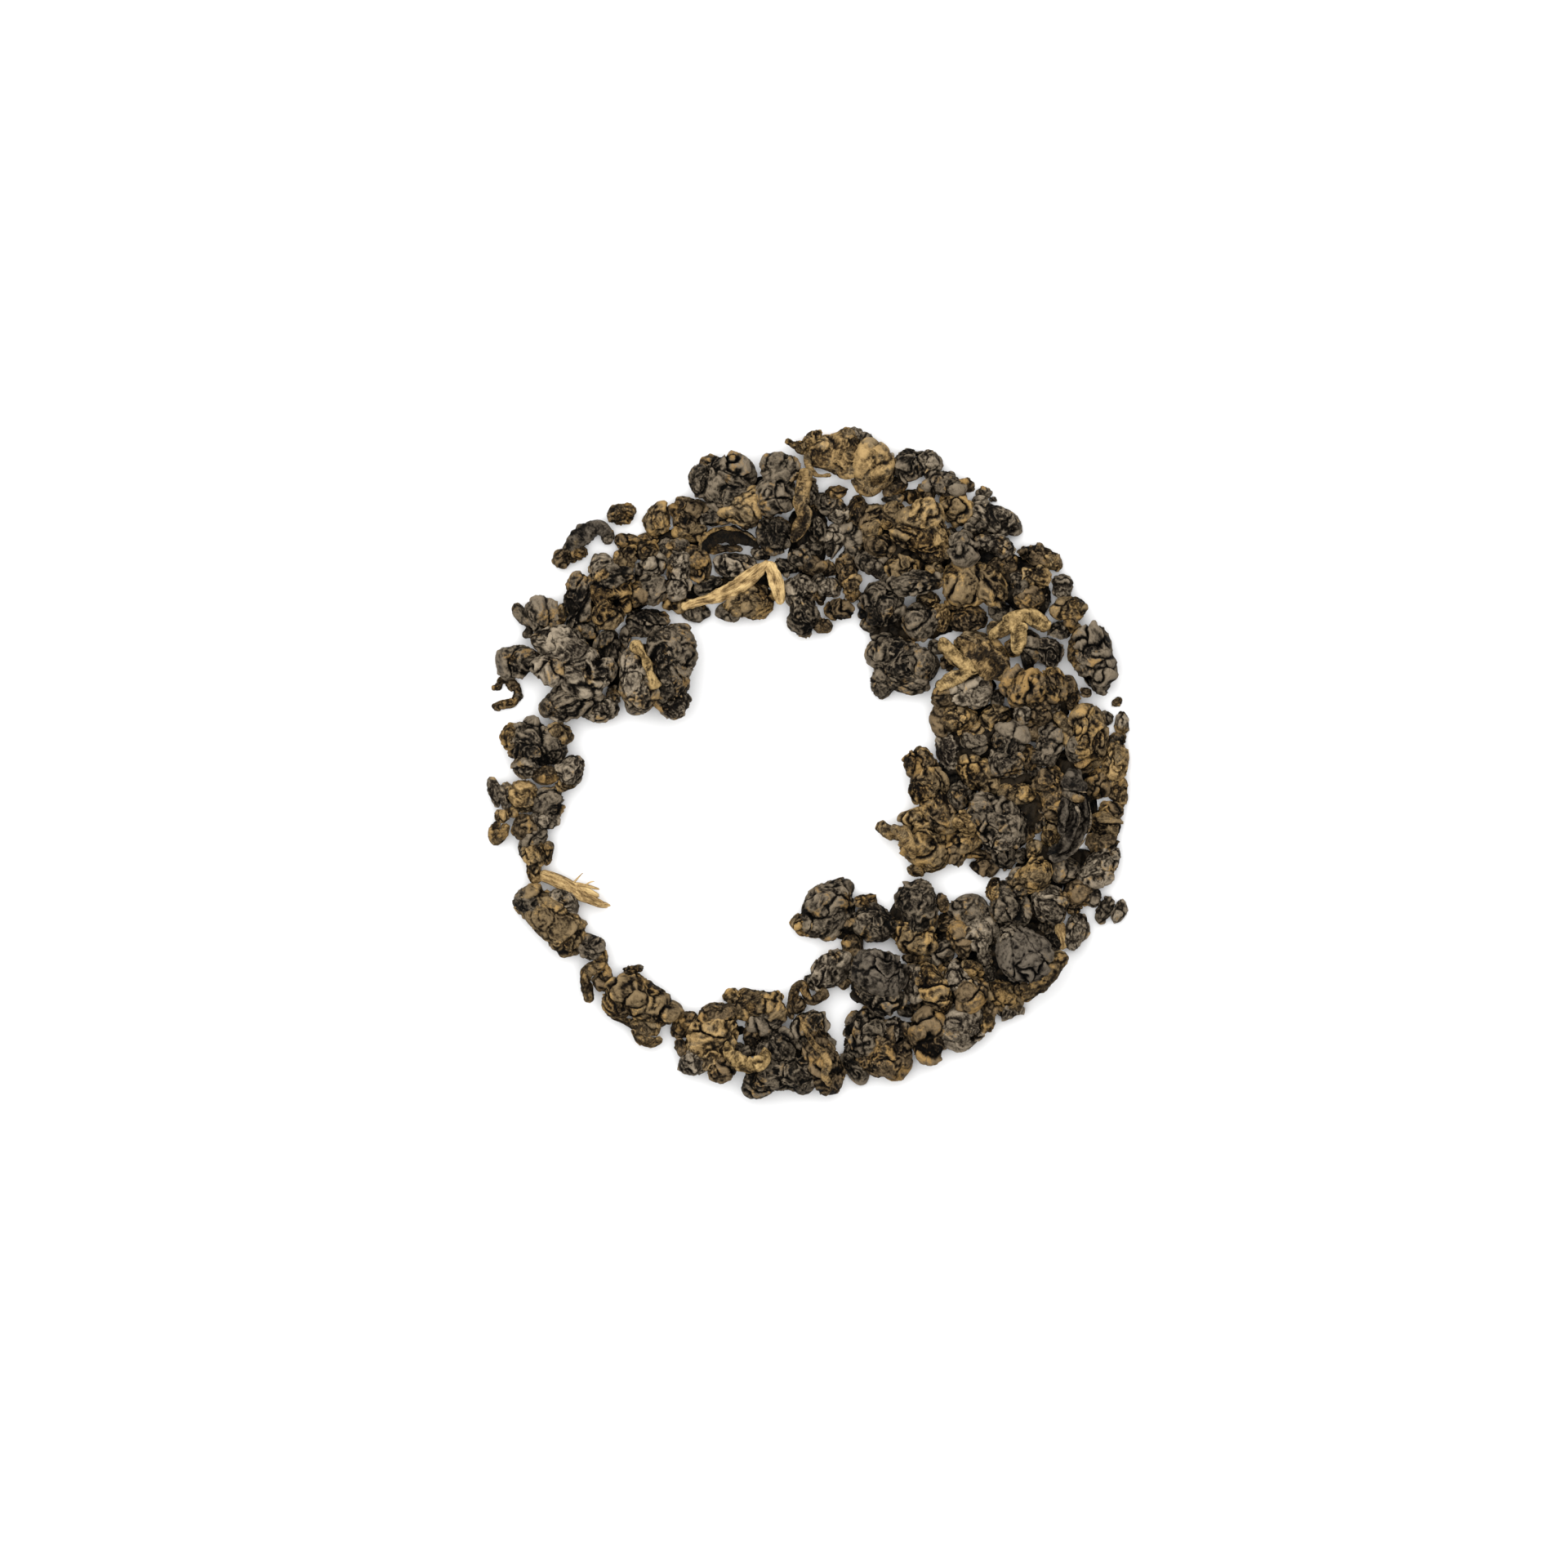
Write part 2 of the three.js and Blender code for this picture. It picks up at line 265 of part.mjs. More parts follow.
// The single pellets and crumbs, each one clear of its neighbours
const SINGLES = {
  stalk_pellet: [
    pellet(0, lobe(64.6, 98.1, 4.2, 3.8, 0, GOLD), lobe(66.7, 98.6, 4.4, 4.2, 0, CHARCOAL),
    lobe(66.6, 100.4, 3.6, 3.4, 0, GREY), lobe(64.2, 101.2, 3.8, 3.4, 0, BROWN),
    lobe(65.4, 102.6, 3.4, 2.4, 0, CHARCOAL), lobe(60.5, 96.8, 4.2, 1.9, -78, GREY),
    lobe(61.9, 97.4, 3.6, 1.5, 90, GREY), lobe(62.6, 99.4, 2.8, 1.6, 30, TAN),
    lobe(61.4, 100.0, 2.2, 1.8, 0, GOLD), strip(TAN, [61.0, 100.4, 0.9], [60.4, 102.0, 1.1],
    [60.8, 103.0, 1.2], [61.7, 102.2, 1.1], [62.1, 100.8, 0.9]), lobe(65.4, 104.2, 2.7, 2.8, 0, GOLD),
    lobe(67.2, 104.4, 3.2, 1.6, 80, BROWN), lobe(64.0, 104.2, 3.0, 1.0, -80, GREY),
    lobe(65.3, 106.6, 3.2, 2.4, 85, GOLD), strip(PALE, [66.0, 107.0, 1.4], [68.4, 107.9, 1.7],
    [70.2, 108.9, 1.9], [71.8, 109.9, 1.3], [73.2, 110.6, 1.0], [74.6, 110.8, 0.6])),
  ],
  left_pellet: [
    pellet(0, lobe(65.8, 91.5, 7.4, 6.4, -10, CHARCOAL), lobe(63.0, 90.4, 3.6, 3.2, 90, TAN),
    lobe(69.8, 94.2, 4.4, 4.0, 60, GREY), lobe(64.2, 93.9, 3.6, 3.0, 0, CHARCOAL),
    lobe(68.4, 89.8, 3.4, 3.0, 0, BROWN), lobe(69.4, 96.0, 2.8, 1.4, 0, TAN)),
  ],
  loose_hook: [
    pellet(0, lobe(69.1, 68.4, 2.6, 2.4, 0, BROWN), lobe(71.1, 67.8, 1.8, 1.8, 0, BROWN),
    lobe(70.3, 66.7, 2.6, 1.4, 20, CHARCOAL), lobe(71.7, 65.5, 3.0, 2.0, 40, CHARCOAL),
    strip(BLACK, [71.8, 65.0, 1.0], [73.4, 64.6, 1.2], [74.3, 65.3, 1.0], [74.2, 66.6, 0.9])),
  ],
  loose_bud: [pellet(0, lobe(75.8, 63.2, 3.4, 2.8, 0, BROWN), lobe(76.9, 62.5, 1.8, 1.6, 0, BROWN))],
  loose_curl: [
    pellet(0, strip(BROWN, [60.8, 83.5, 0.8], [62.2, 83.4, 1.2], [63.4, 84.6, 1.3], [63.0, 85.8, 1.2],
    [61.5, 86.3, 1.3], [60.4, 86.5, 0.8])),
  ],
  right_pellet: [pellet(0, lobe(135.3, 111.5, 3.8, 2.0, 65, CHARCOAL),
    lobe(137.0, 111.4, 3.3, 1.8, 80, GREY))],
  flake_gold: [pellet(0, lobe(136.8, 85.9, 1.4, 1.1, 40, TAN))],
  flake_dark: [pellet(0, lobe(135.2, 88.0, 2.4, 1.8, -15, CHARCOAL))],
  flake_long: [pellet(0, lobe(137.5, 88.5, 3.4, 1.3, 92, GREY))],
  crumb_large: [pellet(0, lobe(120.6, 60.5, 1.4, 1.3, 0, CHARCOAL))],
  crumb_small: [pellet(0, lobe(121.6, 61.2, 0.9, 0.8, 0, CHARCOAL))],
};

// A draw from 0 to 1 that is the same on every run
function draw(seed, k) {
  const s = Math.sin(seed * 12.9898 + k * 78.233) * 43758.5453;
  return s - Math.floor(s);
}

// How far a lobe swells in a direction, from its own bumps
function swelling(direction, seed) {
  let total = 1;
  for (let k = 0; k < BUMPS; k++) {
    const z = 2 * draw(seed, 2 * k) - 1;
    const around = 2 * Math.PI * draw(seed, 2 * k + 1);
    const level = Math.sqrt(1 - z * z);
    const bump = new THREE.Vector3(level * Math.cos(around), level * Math.sin(around), z);
    total += SWELL * Math.max(0, direction.dot(bump)) ** 3;
  }
  return total;
}

// The level line that a strip follows, and its thickness at a share t of its length
function lineOf(path) {
  const curve = new THREE.CatmullRomCurve3(path.map(({ x, y }) => new THREE.Vector3(x, y, 0)));
  const thicknessAt = (t) => {
    const s = t * (path.length - 1);
    const i = Math.min(Math.floor(s), path.length - 2);
    return THREE.MathUtils.lerp(path[i].thickness, path[i + 1].thickness, s - i);
  };
  return { curve, thicknessAt };
}

// The grid columns that bear an upright ellipsoid, each with half the ellipsoid's thickness there
function columnsUnder({ x, y, length, width, height, turn }) {
  const columns = [];
  const c = Math.cos(turn);
  const s = Math.sin(turn);
  const reach = (Math.max(length, width) / 2) * BEARING_SHARE;
  for (let i = Math.ceil((x - reach) / CELL); i * CELL <= x + reach; i++)
    for (let j = Math.ceil((y - reach) / CELL); j * CELL <= y + reach; j++) {
      const dx = i * CELL - x;
      const dy = j * CELL - y;
      const u = (dx * c + dy * s) / ((length / 2) * BEARING_SHARE);
      const v = (dy * c - dx * s) / ((width / 2) * BEARING_SHARE);
      const rest = 1 - u * u - v * v;
      if (rest > 0) columns.push({ key: `${i},${j}`, half: (height / 2) * Math.sqrt(rest) });
    }
  return columns;
}

function columnsOf(piece) {
  if (!piece.path) return columnsUnder(piece);
  const { curve, thicknessAt } = lineOf(piece.path);
  const steps = Math.ceil(curve.getLength() / CELL);
  return Array.from({ length: steps + 1 }, (_, k) => {
    const { x, y } = curve.getPoint(k / steps);
    const thickness = thicknessAt(k / steps);
    const breadth = thickness / BEARING_SHARE;
    return columnsUnder({ x, y, length: breadth, width: breadth, height: thickness * STRIP_HEIGHT, turn: 0 });
  }).flat();
}

// Lets every pellet fall straight down, the lowest layer first, and returns the height of each one's middle.
function fall(pellets) {
  const tops = new Map();
  for (const { key, half } of BURIED.flatMap(columnsUnder)) tops.set(key, Math.max(tops.get(key) ?? 0, half));
  const heights = new Map();
  for (const one of [...pellets].sort((a, b) => a.layer - b.layer)) {
    const columns = one.pieces.flatMap(columnsOf);
    const stopAt = ({ key, half }) => (tops.has(key) ? tops.get(key) + half - NESTLE : half - FOOT_BITE);
    const z = Math.max(...columns.map(stopAt));
    heights.set(one, z);
    for (const { key, half } of columns) tops.set(key, Math.max(tops.get(key) ?? 0, z + half));
  }
  return heights;
}

// A closed mesh as a solid
function solidOf(geometry) {
  geometry.deleteAttribute("normal");
  geometry.deleteAttribute("uv");
  const merged = mergeVertices(geometry, 1e-4);
  return new wasm.Manifold(
    new wasm.Mesh({
      numProp: 3,
      vertProperties: merged.attributes.position.array,
      triVerts: new Uint32Array(merged.index.array),
    }),
  );
}

// A crumpled lobe whose middle is at height z
function lobeSolid({ x, y, length, width, height, turn }, z, seed) {
  const geometry = length < SMALL ? new THREE.OctahedronGeometry() : new THREE.IcosahedronGeometry();
  const place = geometry.attributes.position;
  const point = new THREE.Vector3();
  const half = new THREE.Vector3(length / 2, width / 2, height / 2);
  for (let i = 0; i < place.count; i++) {
    point.fromBufferAttribute(place, i).normalize();
    point.multiplyScalar(swelling(point, seed)).multiply(half);
    place.setXYZ(i, point.x, point.y, point.z);
  }
  geometry.rotateZ(turn);
  geometry.translate(x, y, z);
  return solidOf(geometry);
}

// A stem or rolled strip at height z: a ball drawn out along its line
function stripSolid({ path }, z) {
  const { curve, thicknessAt } = lineOf(path);
  const rings = Math.max(4, Math.round(curve.getLength() / STRIP_STEP) + 2);
  const geometry = new THREE.SphereGeometry(1, STRIP_SIDES, rings);
  const place = geometry.attributes.position;
  const point = new THREE.Vector3();
  const up = new THREE.Vector3(0, 0, 1);
  for (let i = 0; i < place.count; i++) {
    point.fromBufferAttribute(place, i);
    const t = Math.acos(THREE.MathUtils.clamp(point.y, -1, 1)) / Math.PI;
    const round = Math.hypot(point.x, point.z);
    // Blunt ends: nearly the full thickness from the second ring on
    const fullness = Math.min(1, 2 * round) / Math.max(round, 1e-6);
    const across = up.clone().cross(curve.getTangent(t));
    const half = (thicknessAt(t) / 2) * fullness;
    const middle = curve.getPoint(t);
    middle.addScaledVector(across, point.x * half);
    place.setXYZ(i, middle.x, middle.y, z + point.z * half * STRIP_HEIGHT);
  }
  return solidOf(geometry);
}

const tableBox = new THREE.BoxGeometry(TABLE_SIZE, TABLE_SIZE, TABLE_DEPTH);
const table = solidOf(tableBox.translate(0, 0, -TABLE_DEPTH / 2));

// Fuses solids into one body and cuts their feet flat on the table.
function fused(solids) {
  return wasm.Manifold.union(solids).subtract(table);
}

function meshOf(name, solid, color) {
  const { vertProperties, triVerts, numProp } = solid.getMesh();
  const geometry = new THREE.BufferGeometry();
  geometry.setAttribute("position", new THREE.BufferAttribute(new Float32Array(vertProperties), numProp));
  geometry.setIndex(new THREE.BufferAttribute(new Uint32Array(triVerts), 1));
  geometry.computeVertexNormals();
  const material = new THREE.MeshStandardMaterial({ color, roughness: ROUGHNESS, metalness: 0 });
  const mesh = new THREE.Mesh(geometry, material);
  mesh.name = name;
  return mesh;
}

function meanColor(pieces) {
  const mean = new THREE.Color(0, 0, 0);
  for (const { color } of pieces) mean.add(color);
  return mean.multiplyScalar(1 / pieces.length);
}

const nodes = { tea_heap: HEAP, ...SINGLES };
const heights = fall(Object.values(nodes).flat());
const group = new THREE.Group();
let seed = 0;
for (const [name, pellets] of Object.entries(nodes)) {
  const solids = [];
  for (const one of pellets)
    for (const piece of one.pieces) {
      seed += 1;
      const z = heights.get(one);
      solids.push(piece.path ? stripSolid(piece, z) : lobeSolid(piece, z, seed));
    }
  if (name === "tea_heap") solids.push(...BURIED.map((one, k) => lobeSolid(one, 0, k)));
  group.add(meshOf(name, fused(solids), meanColor(pellets.flatMap((one) => one.pieces))));
}

export default group;
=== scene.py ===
import itertools
import math

import bpy
import numpy as np
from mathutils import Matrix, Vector


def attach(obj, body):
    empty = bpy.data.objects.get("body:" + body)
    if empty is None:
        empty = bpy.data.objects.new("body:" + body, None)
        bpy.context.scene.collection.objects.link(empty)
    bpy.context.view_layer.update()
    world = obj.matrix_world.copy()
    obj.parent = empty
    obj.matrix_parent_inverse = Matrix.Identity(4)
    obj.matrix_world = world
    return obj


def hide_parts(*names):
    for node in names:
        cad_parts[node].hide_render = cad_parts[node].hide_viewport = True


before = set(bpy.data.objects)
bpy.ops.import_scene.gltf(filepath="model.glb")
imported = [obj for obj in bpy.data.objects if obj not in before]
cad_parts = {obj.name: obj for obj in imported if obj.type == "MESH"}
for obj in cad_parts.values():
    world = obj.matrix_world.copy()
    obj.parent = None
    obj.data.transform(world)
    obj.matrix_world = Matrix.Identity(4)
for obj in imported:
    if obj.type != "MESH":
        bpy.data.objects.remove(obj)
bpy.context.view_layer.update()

METRES = 0.001

# Places in the tables are measured on a sheet under the ring: x to the right of the sheet's left edge and
# y down from its top edge, toward the viewer. The ring's middle is here.
MIDDLE_X = 98.8
MIDDLE_Y = 93.6
# The sheet's side, which is what the camera takes in
SHEET = 192.0

# The frame's own rules for heights, so that each pellet lies where its solid does.
# The height of a lobe and of a strip as a share of its width
PELLET_HEIGHT = 0.84
STRIP_HEIGHT = 0.8
# How deep a pellet on the table would dip into it, and how deep one nestles into those below it
FOOT_BITE = 0.25
NESTLE = 1.1
# The share of a piece's breadth that bears, and the side of the grid's cells that keep the heights
BEARING_SHARE = 0.74
CELL = 0.4
# A lobe's bumps: how many, how far they swell it and how sharp they are
BUMPS = 7
SWELL = 0.16
BUMP_SHARPNESS = 3

# The side of a triangle on the middle of a lobe and of the buried core, the fewest steps along a net's
# side, and the length of that side on a ball with a radius of one
NET = 0.185
CORE_NET = 0.28
COARSEST = 6
NET_SIDE = 1.107
# How far above a lobe's middle the point lies from which its even net is thrown out, as a share of its
# height, which makes the net finer on top
NET_LIFT = 0.3
# How much of its breadth and height the buried core keeps under the folded pellets
CORE_BREADTH = 0.95
CORE_HEIGHT = 0.84
# A corner is left out where it lies within this share of another lobe's radius
COVERED = 0.74

# Finishes: the order of the materials on each piece
SHADED, BLACK, CHARCOAL, GREY, BROWN, TAN, GOLD, STRAW, PALE = range(9)


def lobe(x, y, length, width, finish, turn=0):
    """A crumpled lobe of a pellet, seen from above: centre, length, width, finish, turn in degrees."""
    return {
        "x": x - MIDDLE_X,
        "y": MIDDLE_Y - y,
        "half": (length / 2, width / 2, width * PELLET_HEIGHT / 2),
        "turn": math.radians(turn),
        "finish": finish,
        "bears": True,
        "calm": False,
    }


def trim(*row):
    """A small lobe between the others, which nothing rests on."""
    return {**lobe(*row), "bears": False}


def buried(x, y, length, width, turn, top):
    """A hidden pellet of which only the upper half, up to a top, is above the table. Its near-black finish
    is painted shadow where it shows in the gaps.
    """
    return {**lobe(x, y, length, width, SHADED, turn), "half": (length / 2, width / 2, top)}


def strip(finish, *path):
    """A stem or a rolled strip of leaf: its finish, then x, y and thickness at points along it. One without
    a finish bears on what is under it but is drawn as ribbons instead."""
    points = [(x - MIDDLE_X, MIDDLE_Y - y, thickness) for x, y, thickness in path]
    return {"path": np.array(points), "finish": finish, "bears": True, "calm": False}


def calm(piece):
    """A lobe of a leaf that is folded in broad smooth plates."""
    return {**piece, "calm": True}


def filling(height, *rows):
    """Small lobes in the gaps between the pellets, with their middles at one height."""
    return [{**trim(*row), "z": height} for row in rows]


def ribbon(finish, thickness, curl, *path):
    """A flat strip of leaf that nothing rests on: its finish, thickness, and how far its edges curl up as a
    share of its breadth, then x, y, height, breadth and roll in degrees at points along it."""
    rows = [(x - MIDDLE_X, MIDDLE_Y - y, z, breadth, math.radians(roll)) for x, y, z, breadth, roll in path]
    return {
        "ribbon": np.array(rows),
        "thickness": thickness,
        "curl": curl,
        "finish": finish,
        "calm": True,
    }


def pellet(layer, *pieces):
    """The layer in which a pellet came to lie, then its lobes and strips."""
    return {"layer": layer, "pieces": pieces}


# The pellets that touch, one on each row
HEAP = [
    # Upper left end
    pellet(0, lobe(63.4, 81.2, 5.4, 4.4, CHARCOAL), trim(65.2, 80.8, 2.8, 2, BROWN, 90)),
    pellet(0, lobe(66.3, 75.7, 4.2, 4, CHARCOAL),
        strip(CHARCOAL, [63, 73.9, 1], [64, 75.2, 1.6], [65.6, 76.6, 1.8])),
    pellet(0, lobe(73.6, 69.5, 3.4, 3.4, GREY)),
    pellet(0, lobe(76.8, 66.3, 3.2, 2, BROWN), lobe(76.5, 68.5, 3.6, 2.6, TAN)),
    pellet(0, lobe(79.5, 66, 2.8, 1.8, BROWN)),
    pellet(0, lobe(80.5, 63.6, 3.8, 3.5, TAN, 90)),
    pellet(0, lobe(84, 62.2, 4.2, 3.2, BROWN), lobe(84.5, 65, 4.6, 2.6, TAN)),
    pellet(0, lobe(70.2, 86.2, 8, 4.6, CHARCOAL), trim(68.8, 86.8, 4, 3.2, GREY),
        lobe(73.5, 86.8, 4.8, 2.6, GREY, 15)),
    pellet(0, lobe(77.5, 81.2, 4, 3.4, CHARCOAL, 90), lobe(78, 85, 4.6, 4.6, GREY)),
    pellet(0, lobe(74.5, 79.5, 5.2, 3.6, CHARCOAL, 90)),
    pellet(1, lobe(69, 78.7, 8.2, 3.8, GREY, -5), lobe(67.5, 81.8, 4.6, 4, GREY),
        lobe(72.5, 82.2, 5.2, 5, GREY)),
    pellet(1, lobe(70.5, 74, 7.5, 4.8, CHARCOAL, 80), trim(69, 75.4, 4.2, 2.4, GOLD, 60)),
    pellet(1, lobe(74.8, 71, 6, 3.2, CHARCOAL), lobe(74.7, 74.2, 4.6, 4.6, TAN)),
    pellet(0, lobe(79, 75.7, 6.4, 4.8, CHARCOAL)),
    pellet(1, lobe(79.8, 69.4, 3.8, 3.4, GREY)),
    pellet(0, trim(81.5, 67.2, 3.2, 2.6, CHARCOAL)),
    pellet(1, lobe(80, 72.1, 3.6, 3, CHARCOAL)),
    pellet(1, lobe(83.2, 69, 3.6, 3, GREY), lobe(82.8, 71.8, 3.6, 3.2, GREY)),
    pellet(0, trim(82.7, 73.9, 3.2, 2.2, TAN)),
    pellet(1, lobe(85.5, 69, 5, 2.8, BROWN, 110)),
    pellet(1, lobe(81.8, 80.4, 8.6, 6.2, CHARCOAL, 100), trim(81.6, 83.2, 4, 3.4, TAN, 90),
        lobe(82.5, 86.2, 4.6, 4.4, GREY)),
    pellet(2, strip(None, [77.6, 78.6, 1.3], [79, 80.5, 1.4], [79.6, 82.8, 1.3], [80.5, 84.6, 0.9])),
    # From the upper left end to the top
    pellet(0, strip(None, [86.5, 67.5, 1.4], [86.8, 65.5, 1.6], [89.3, 64.8, 1.5], [92.5, 66.2, 1.3])),
    pellet(0, lobe(90.3, 69.2, 5.4, 3.8, GREY)),
    pellet(0, lobe(92.7, 73.7, 4.6, 4, TAN), lobe(89.5, 74.9, 3.4, 2.6, CHARCOAL)),
    pellet(0, trim(85.2, 74.9, 3.6, 1.9, CHARCOAL)),
    pellet(3, strip(None, [83.4, 74.4, 1.2], [87, 73.3, 1.5], [90.5, 71.7, 1.6], [94.2, 68.8, 1.4])),
    pellet(3, strip(None, [94, 68.6, 1.2], [95.2, 71.2, 1.4], [95.8, 74.2, 1.1])),
    pellet(0, lobe(88.2, 57.8, 7.4, 5.4, CHARCOAL), lobe(89, 60.8, 6.2, 4.2, CHARCOAL),
        lobe(91.1, 62.2, 3.4, 2.9, GOLD, 90), trim(91, 62.1, 5, 4.6, GOLD, 60)),
    pellet(0, lobe(95.8, 57.5, 4.2, 3.5, CHARCOAL), lobe(95, 60.6, 5.2, 5, CHARCOAL)),
    pellet(0, lobe(94.8, 65.3, 5, 4.6, CHARCOAL)),
    pellet(0, lobe(96.5, 69.5, 3.6, 3.2, CHARCOAL)),
    pellet(0, lobe(98, 72.5, 4.6, 4, GREY, 90), lobe(98.5, 76, 4.4, 4.6, CHARCOAL)),
    pellet(2, strip(None, [98.5, 58.8, 1], [98.2, 61.5, 1.3], [98.9, 63.5, 1.6], [97.2, 66.2, 1.2])),
    pellet(1, calm(lobe(100.3, 56, 4.8, 4.6, GOLD)), calm(lobe(103.9, 55, 5.2, 4.4, GOLD)),
        calm(lobe(107.2, 57, 5.4, 4.2, GOLD, 90)), calm(trim(103.3, 56.5, 7.8, 4.4, GOLD)),
        calm(trim(106.3, 58.2, 4.2, 3.6, GOLD)), calm(trim(103.6, 53.5, 2.8, 2.4, GOLD)),
        trim(105.9, 53.8, 2, 1.7, CHARCOAL), trim(104.8, 52.9, 2, 1.3, GREY, -20),
        trim(99.6, 53.4, 2.4, 1.7, GOLD, 20), trim(108.4, 56.6, 2.6, 2.4, GREY, 60),
        trim(98.6, 54.6, 3, 2, GOLD, 30),
        strip(TAN, [96.2, 53.8, 0.6], [97.6, 54.6, 1], [99.8, 54.4, 2])),
    pellet(0, lobe(101, 61.4, 3.8, 3, CHARCOAL), lobe(102.6, 63.2, 3, 2.4, GREY)),
    pellet(0, lobe(101.8, 66.2, 4.4, 3.2, GREY, 90)),
    pellet(0, trim(99.3, 67.4, 3.4, 3, CHARCOAL)),
    pellet(0, lobe(103.6, 69.2, 2.8, 2.6, BROWN), lobe(104, 71.6, 2.8, 2.6, TAN, 90),
        trim(101.6, 72, 2.8, 2.6, GREY)),
    pellet(0, lobe(103, 75, 4.2, 3.4, BROWN)),
    pellet(0, trim(101.4, 69.8, 2.4, 1.9, BROWN)),
    # Top
    pellet(0, lobe(111.3, 56.7, 4.4, 3.8, CHARCOAL, 80), lobe(113.7, 56.8, 3.6, 2.8, GREY, 90)),
    pellet(0, lobe(109.8, 59.5, 3.4, 3, BROWN)),
    pellet(0, lobe(115.3, 59.4, 4.6, 3.6, CHARCOAL), lobe(118.2, 59.7, 2.6, 1.7, BROWN)),
    pellet(0, lobe(117.1, 62.4, 4, 3.8, TAN), trim(117, 61.3, 3.6, 2.1, TAN),
        trim(117.2, 63.3, 3.8, 2.6, TAN)),
    pellet(0, lobe(119.7, 61.8, 2.8, 2.4, GREY)),
    pellet(0, trim(111.5, 60.8, 3.6, 1.9, BROWN)),
    pellet(1, lobe(122.2, 63.5, 7.2, 4.2, GREY, -35)),
    pellet(1, lobe(113, 63, 4.4, 3.4, GOLD), lobe(115, 66.2, 6, 2.6, GOLD, 105),
        lobe(111.2, 66, 4.6, 4.2, TAN)),
    pellet(0, lobe(109.5, 63.5, 4.2, 3.6, TAN)),
    pellet(0, lobe(106.8, 63.2, 3.6, 3.2, TAN), lobe(106, 65.7, 3.6, 3, TAN)),
    pellet(0, trim(105, 67.2, 2.8, 2.4, CHARCOAL)),
    pellet(0, lobe(110.5, 69.8, 3.8, 3.6, TAN)),
    pellet(0, lobe(112, 71.5, 6.2, 3.2, CHARCOAL)),
    pellet(0, trim(113.6, 68.6, 4.8, 2.6, BROWN)),
    pellet(0, lobe(117.8, 67.2, 4, 3.6, CHARCOAL, 90)),
    pellet(0, lobe(122, 66.9, 5.8, 3, GREY, -10)),
    pellet(1, lobe(117.5, 71.7, 5.2, 4.8, TAN), lobe(121.2, 71.8, 5.8, 4.6, TAN, 90)),
    pellet(0, lobe(126.2, 67.8, 4.2, 3.1, BROWN), lobe(128.6, 68.9, 3.2, 2.2, GOLD, -20)),
    pellet(1, lobe(126.5, 70.8, 4.4, 3.4, GOLD)),
    pellet(0, lobe(130, 71.8, 3.6, 3.1, GREY, 90)),
    pellet(0, trim(127, 73.8, 3.4, 2.8, CHARCOAL)),
    pellet(0, lobe(131, 74.5, 4.6, 4, TAN)),
    pellet(1, lobe(107.7, 74.5, 7, 6.2, CHARCOAL, 90)),
    pellet(0, lobe(112.4, 75.8, 4.6, 3.8, CHARCOAL, 90), lobe(115.2, 75.6, 4.2, 2.8, GOLD, 90)),
    pellet(0, lobe(118.5, 75.7, 4.6, 4, BROWN)),
    # Right of the top
    pellet(0, lobe(109.5, 79.7, 6.2, 4.2, CHARCOAL), lobe(113, 81.5, 4.8, 4.6, CHARCOAL),
        lobe(111, 83.8, 6.2, 2.8, CHARCOAL)),
    pellet(1, lobe(119, 79, 4.8, 3.2, GOLD), lobe(121.8, 81.2, 4.6, 4, TAN, 90)),
    pellet(1, strip(GOLD, [115, 78.4, 1.6], [117.4, 80.8, 1.9], [119.6, 82.2, 1.8]),
        strip(TAN, [115, 83.9, 1.4], [117.2, 83, 1.9], [119.8, 82, 1.8])),
    pellet(0, lobe(116.5, 85, 4.2, 2.8, BROWN), lobe(119.6, 84.8, 3.8, 3.6, GREY)),
    pellet(1, strip(GOLD, [120.8, 77.6, 1.8], [123.5, 76.5, 2.2], [125.4, 75.6, 2.2], [128.5, 76.8, 1.8]),
        strip(GOLD, [124.6, 76.6, 1.6], [124.8, 78.6, 1.8], [124.4, 80.2, 1.2])),
    pellet(0, lobe(128.5, 79.5, 5, 4.8, GREY, 90)),
    pellet(0, lobe(133.9, 81, 9.4, 5.2, CHARCOAL, 100), lobe(132.2, 79.4, 5.4, 3.4, TAN, 105)),
    pellet(1, lobe(125.8, 84.2, 4.8, 4.6, BROWN), lobe(129.2, 84, 4.8, 3, TAN, 110)),
    pellet(0, lobe(127.2, 86.8, 4.2, 3.6, BROWN, 90), trim(125.2, 87.6, 2.6, 2.4, GREY)),
    pellet(2, strip(GOLD, [129.1, 87, 1.2], [130.5, 89.3, 1.7], [130.8, 91.7, 1.4])),
    pellet(0, lobe(128.3, 90.2, 3.8, 3.2, CHARCOAL), lobe(127.8, 92.6, 3.2, 2.8, CHARCOAL)),
    pellet(0, lobe(122.2, 87.7, 3.8, 3.6, TAN)),
    pellet(1, lobe(123.5, 90.3, 4.6, 3.8, CHARCOAL), lobe(122.8, 93.2, 4, 3.8, CHARCOAL)),
    pellet(0, lobe(117.5, 88, 5, 3.4, TAN), lobe(115.3, 88.5, 3.6, 2.2, BROWN, 90)),
    pellet(0, lobe(116.2, 91.7, 5, 4, GREY, 90)),
    pellet(0, lobe(112.2, 93.2, 4.2, 3.8, BROWN), lobe(113.8, 96.2, 5.8, 4.6, TAN),
        lobe(115, 100.1, 4.2, 3.4, BROWN, 90)),
    pellet(1, lobe(119.5, 94.8, 6.2, 4.4, TAN, -25)),
    pellet(0, lobe(133.1, 90.7, 7.6, 4.8, TAN, 95)),
    pellet(0, lobe(136.5, 93.4, 4.4, 3, GOLD, 90), lobe(136.7, 90.9, 3, 2.2, CHARCOAL)),
    # Right
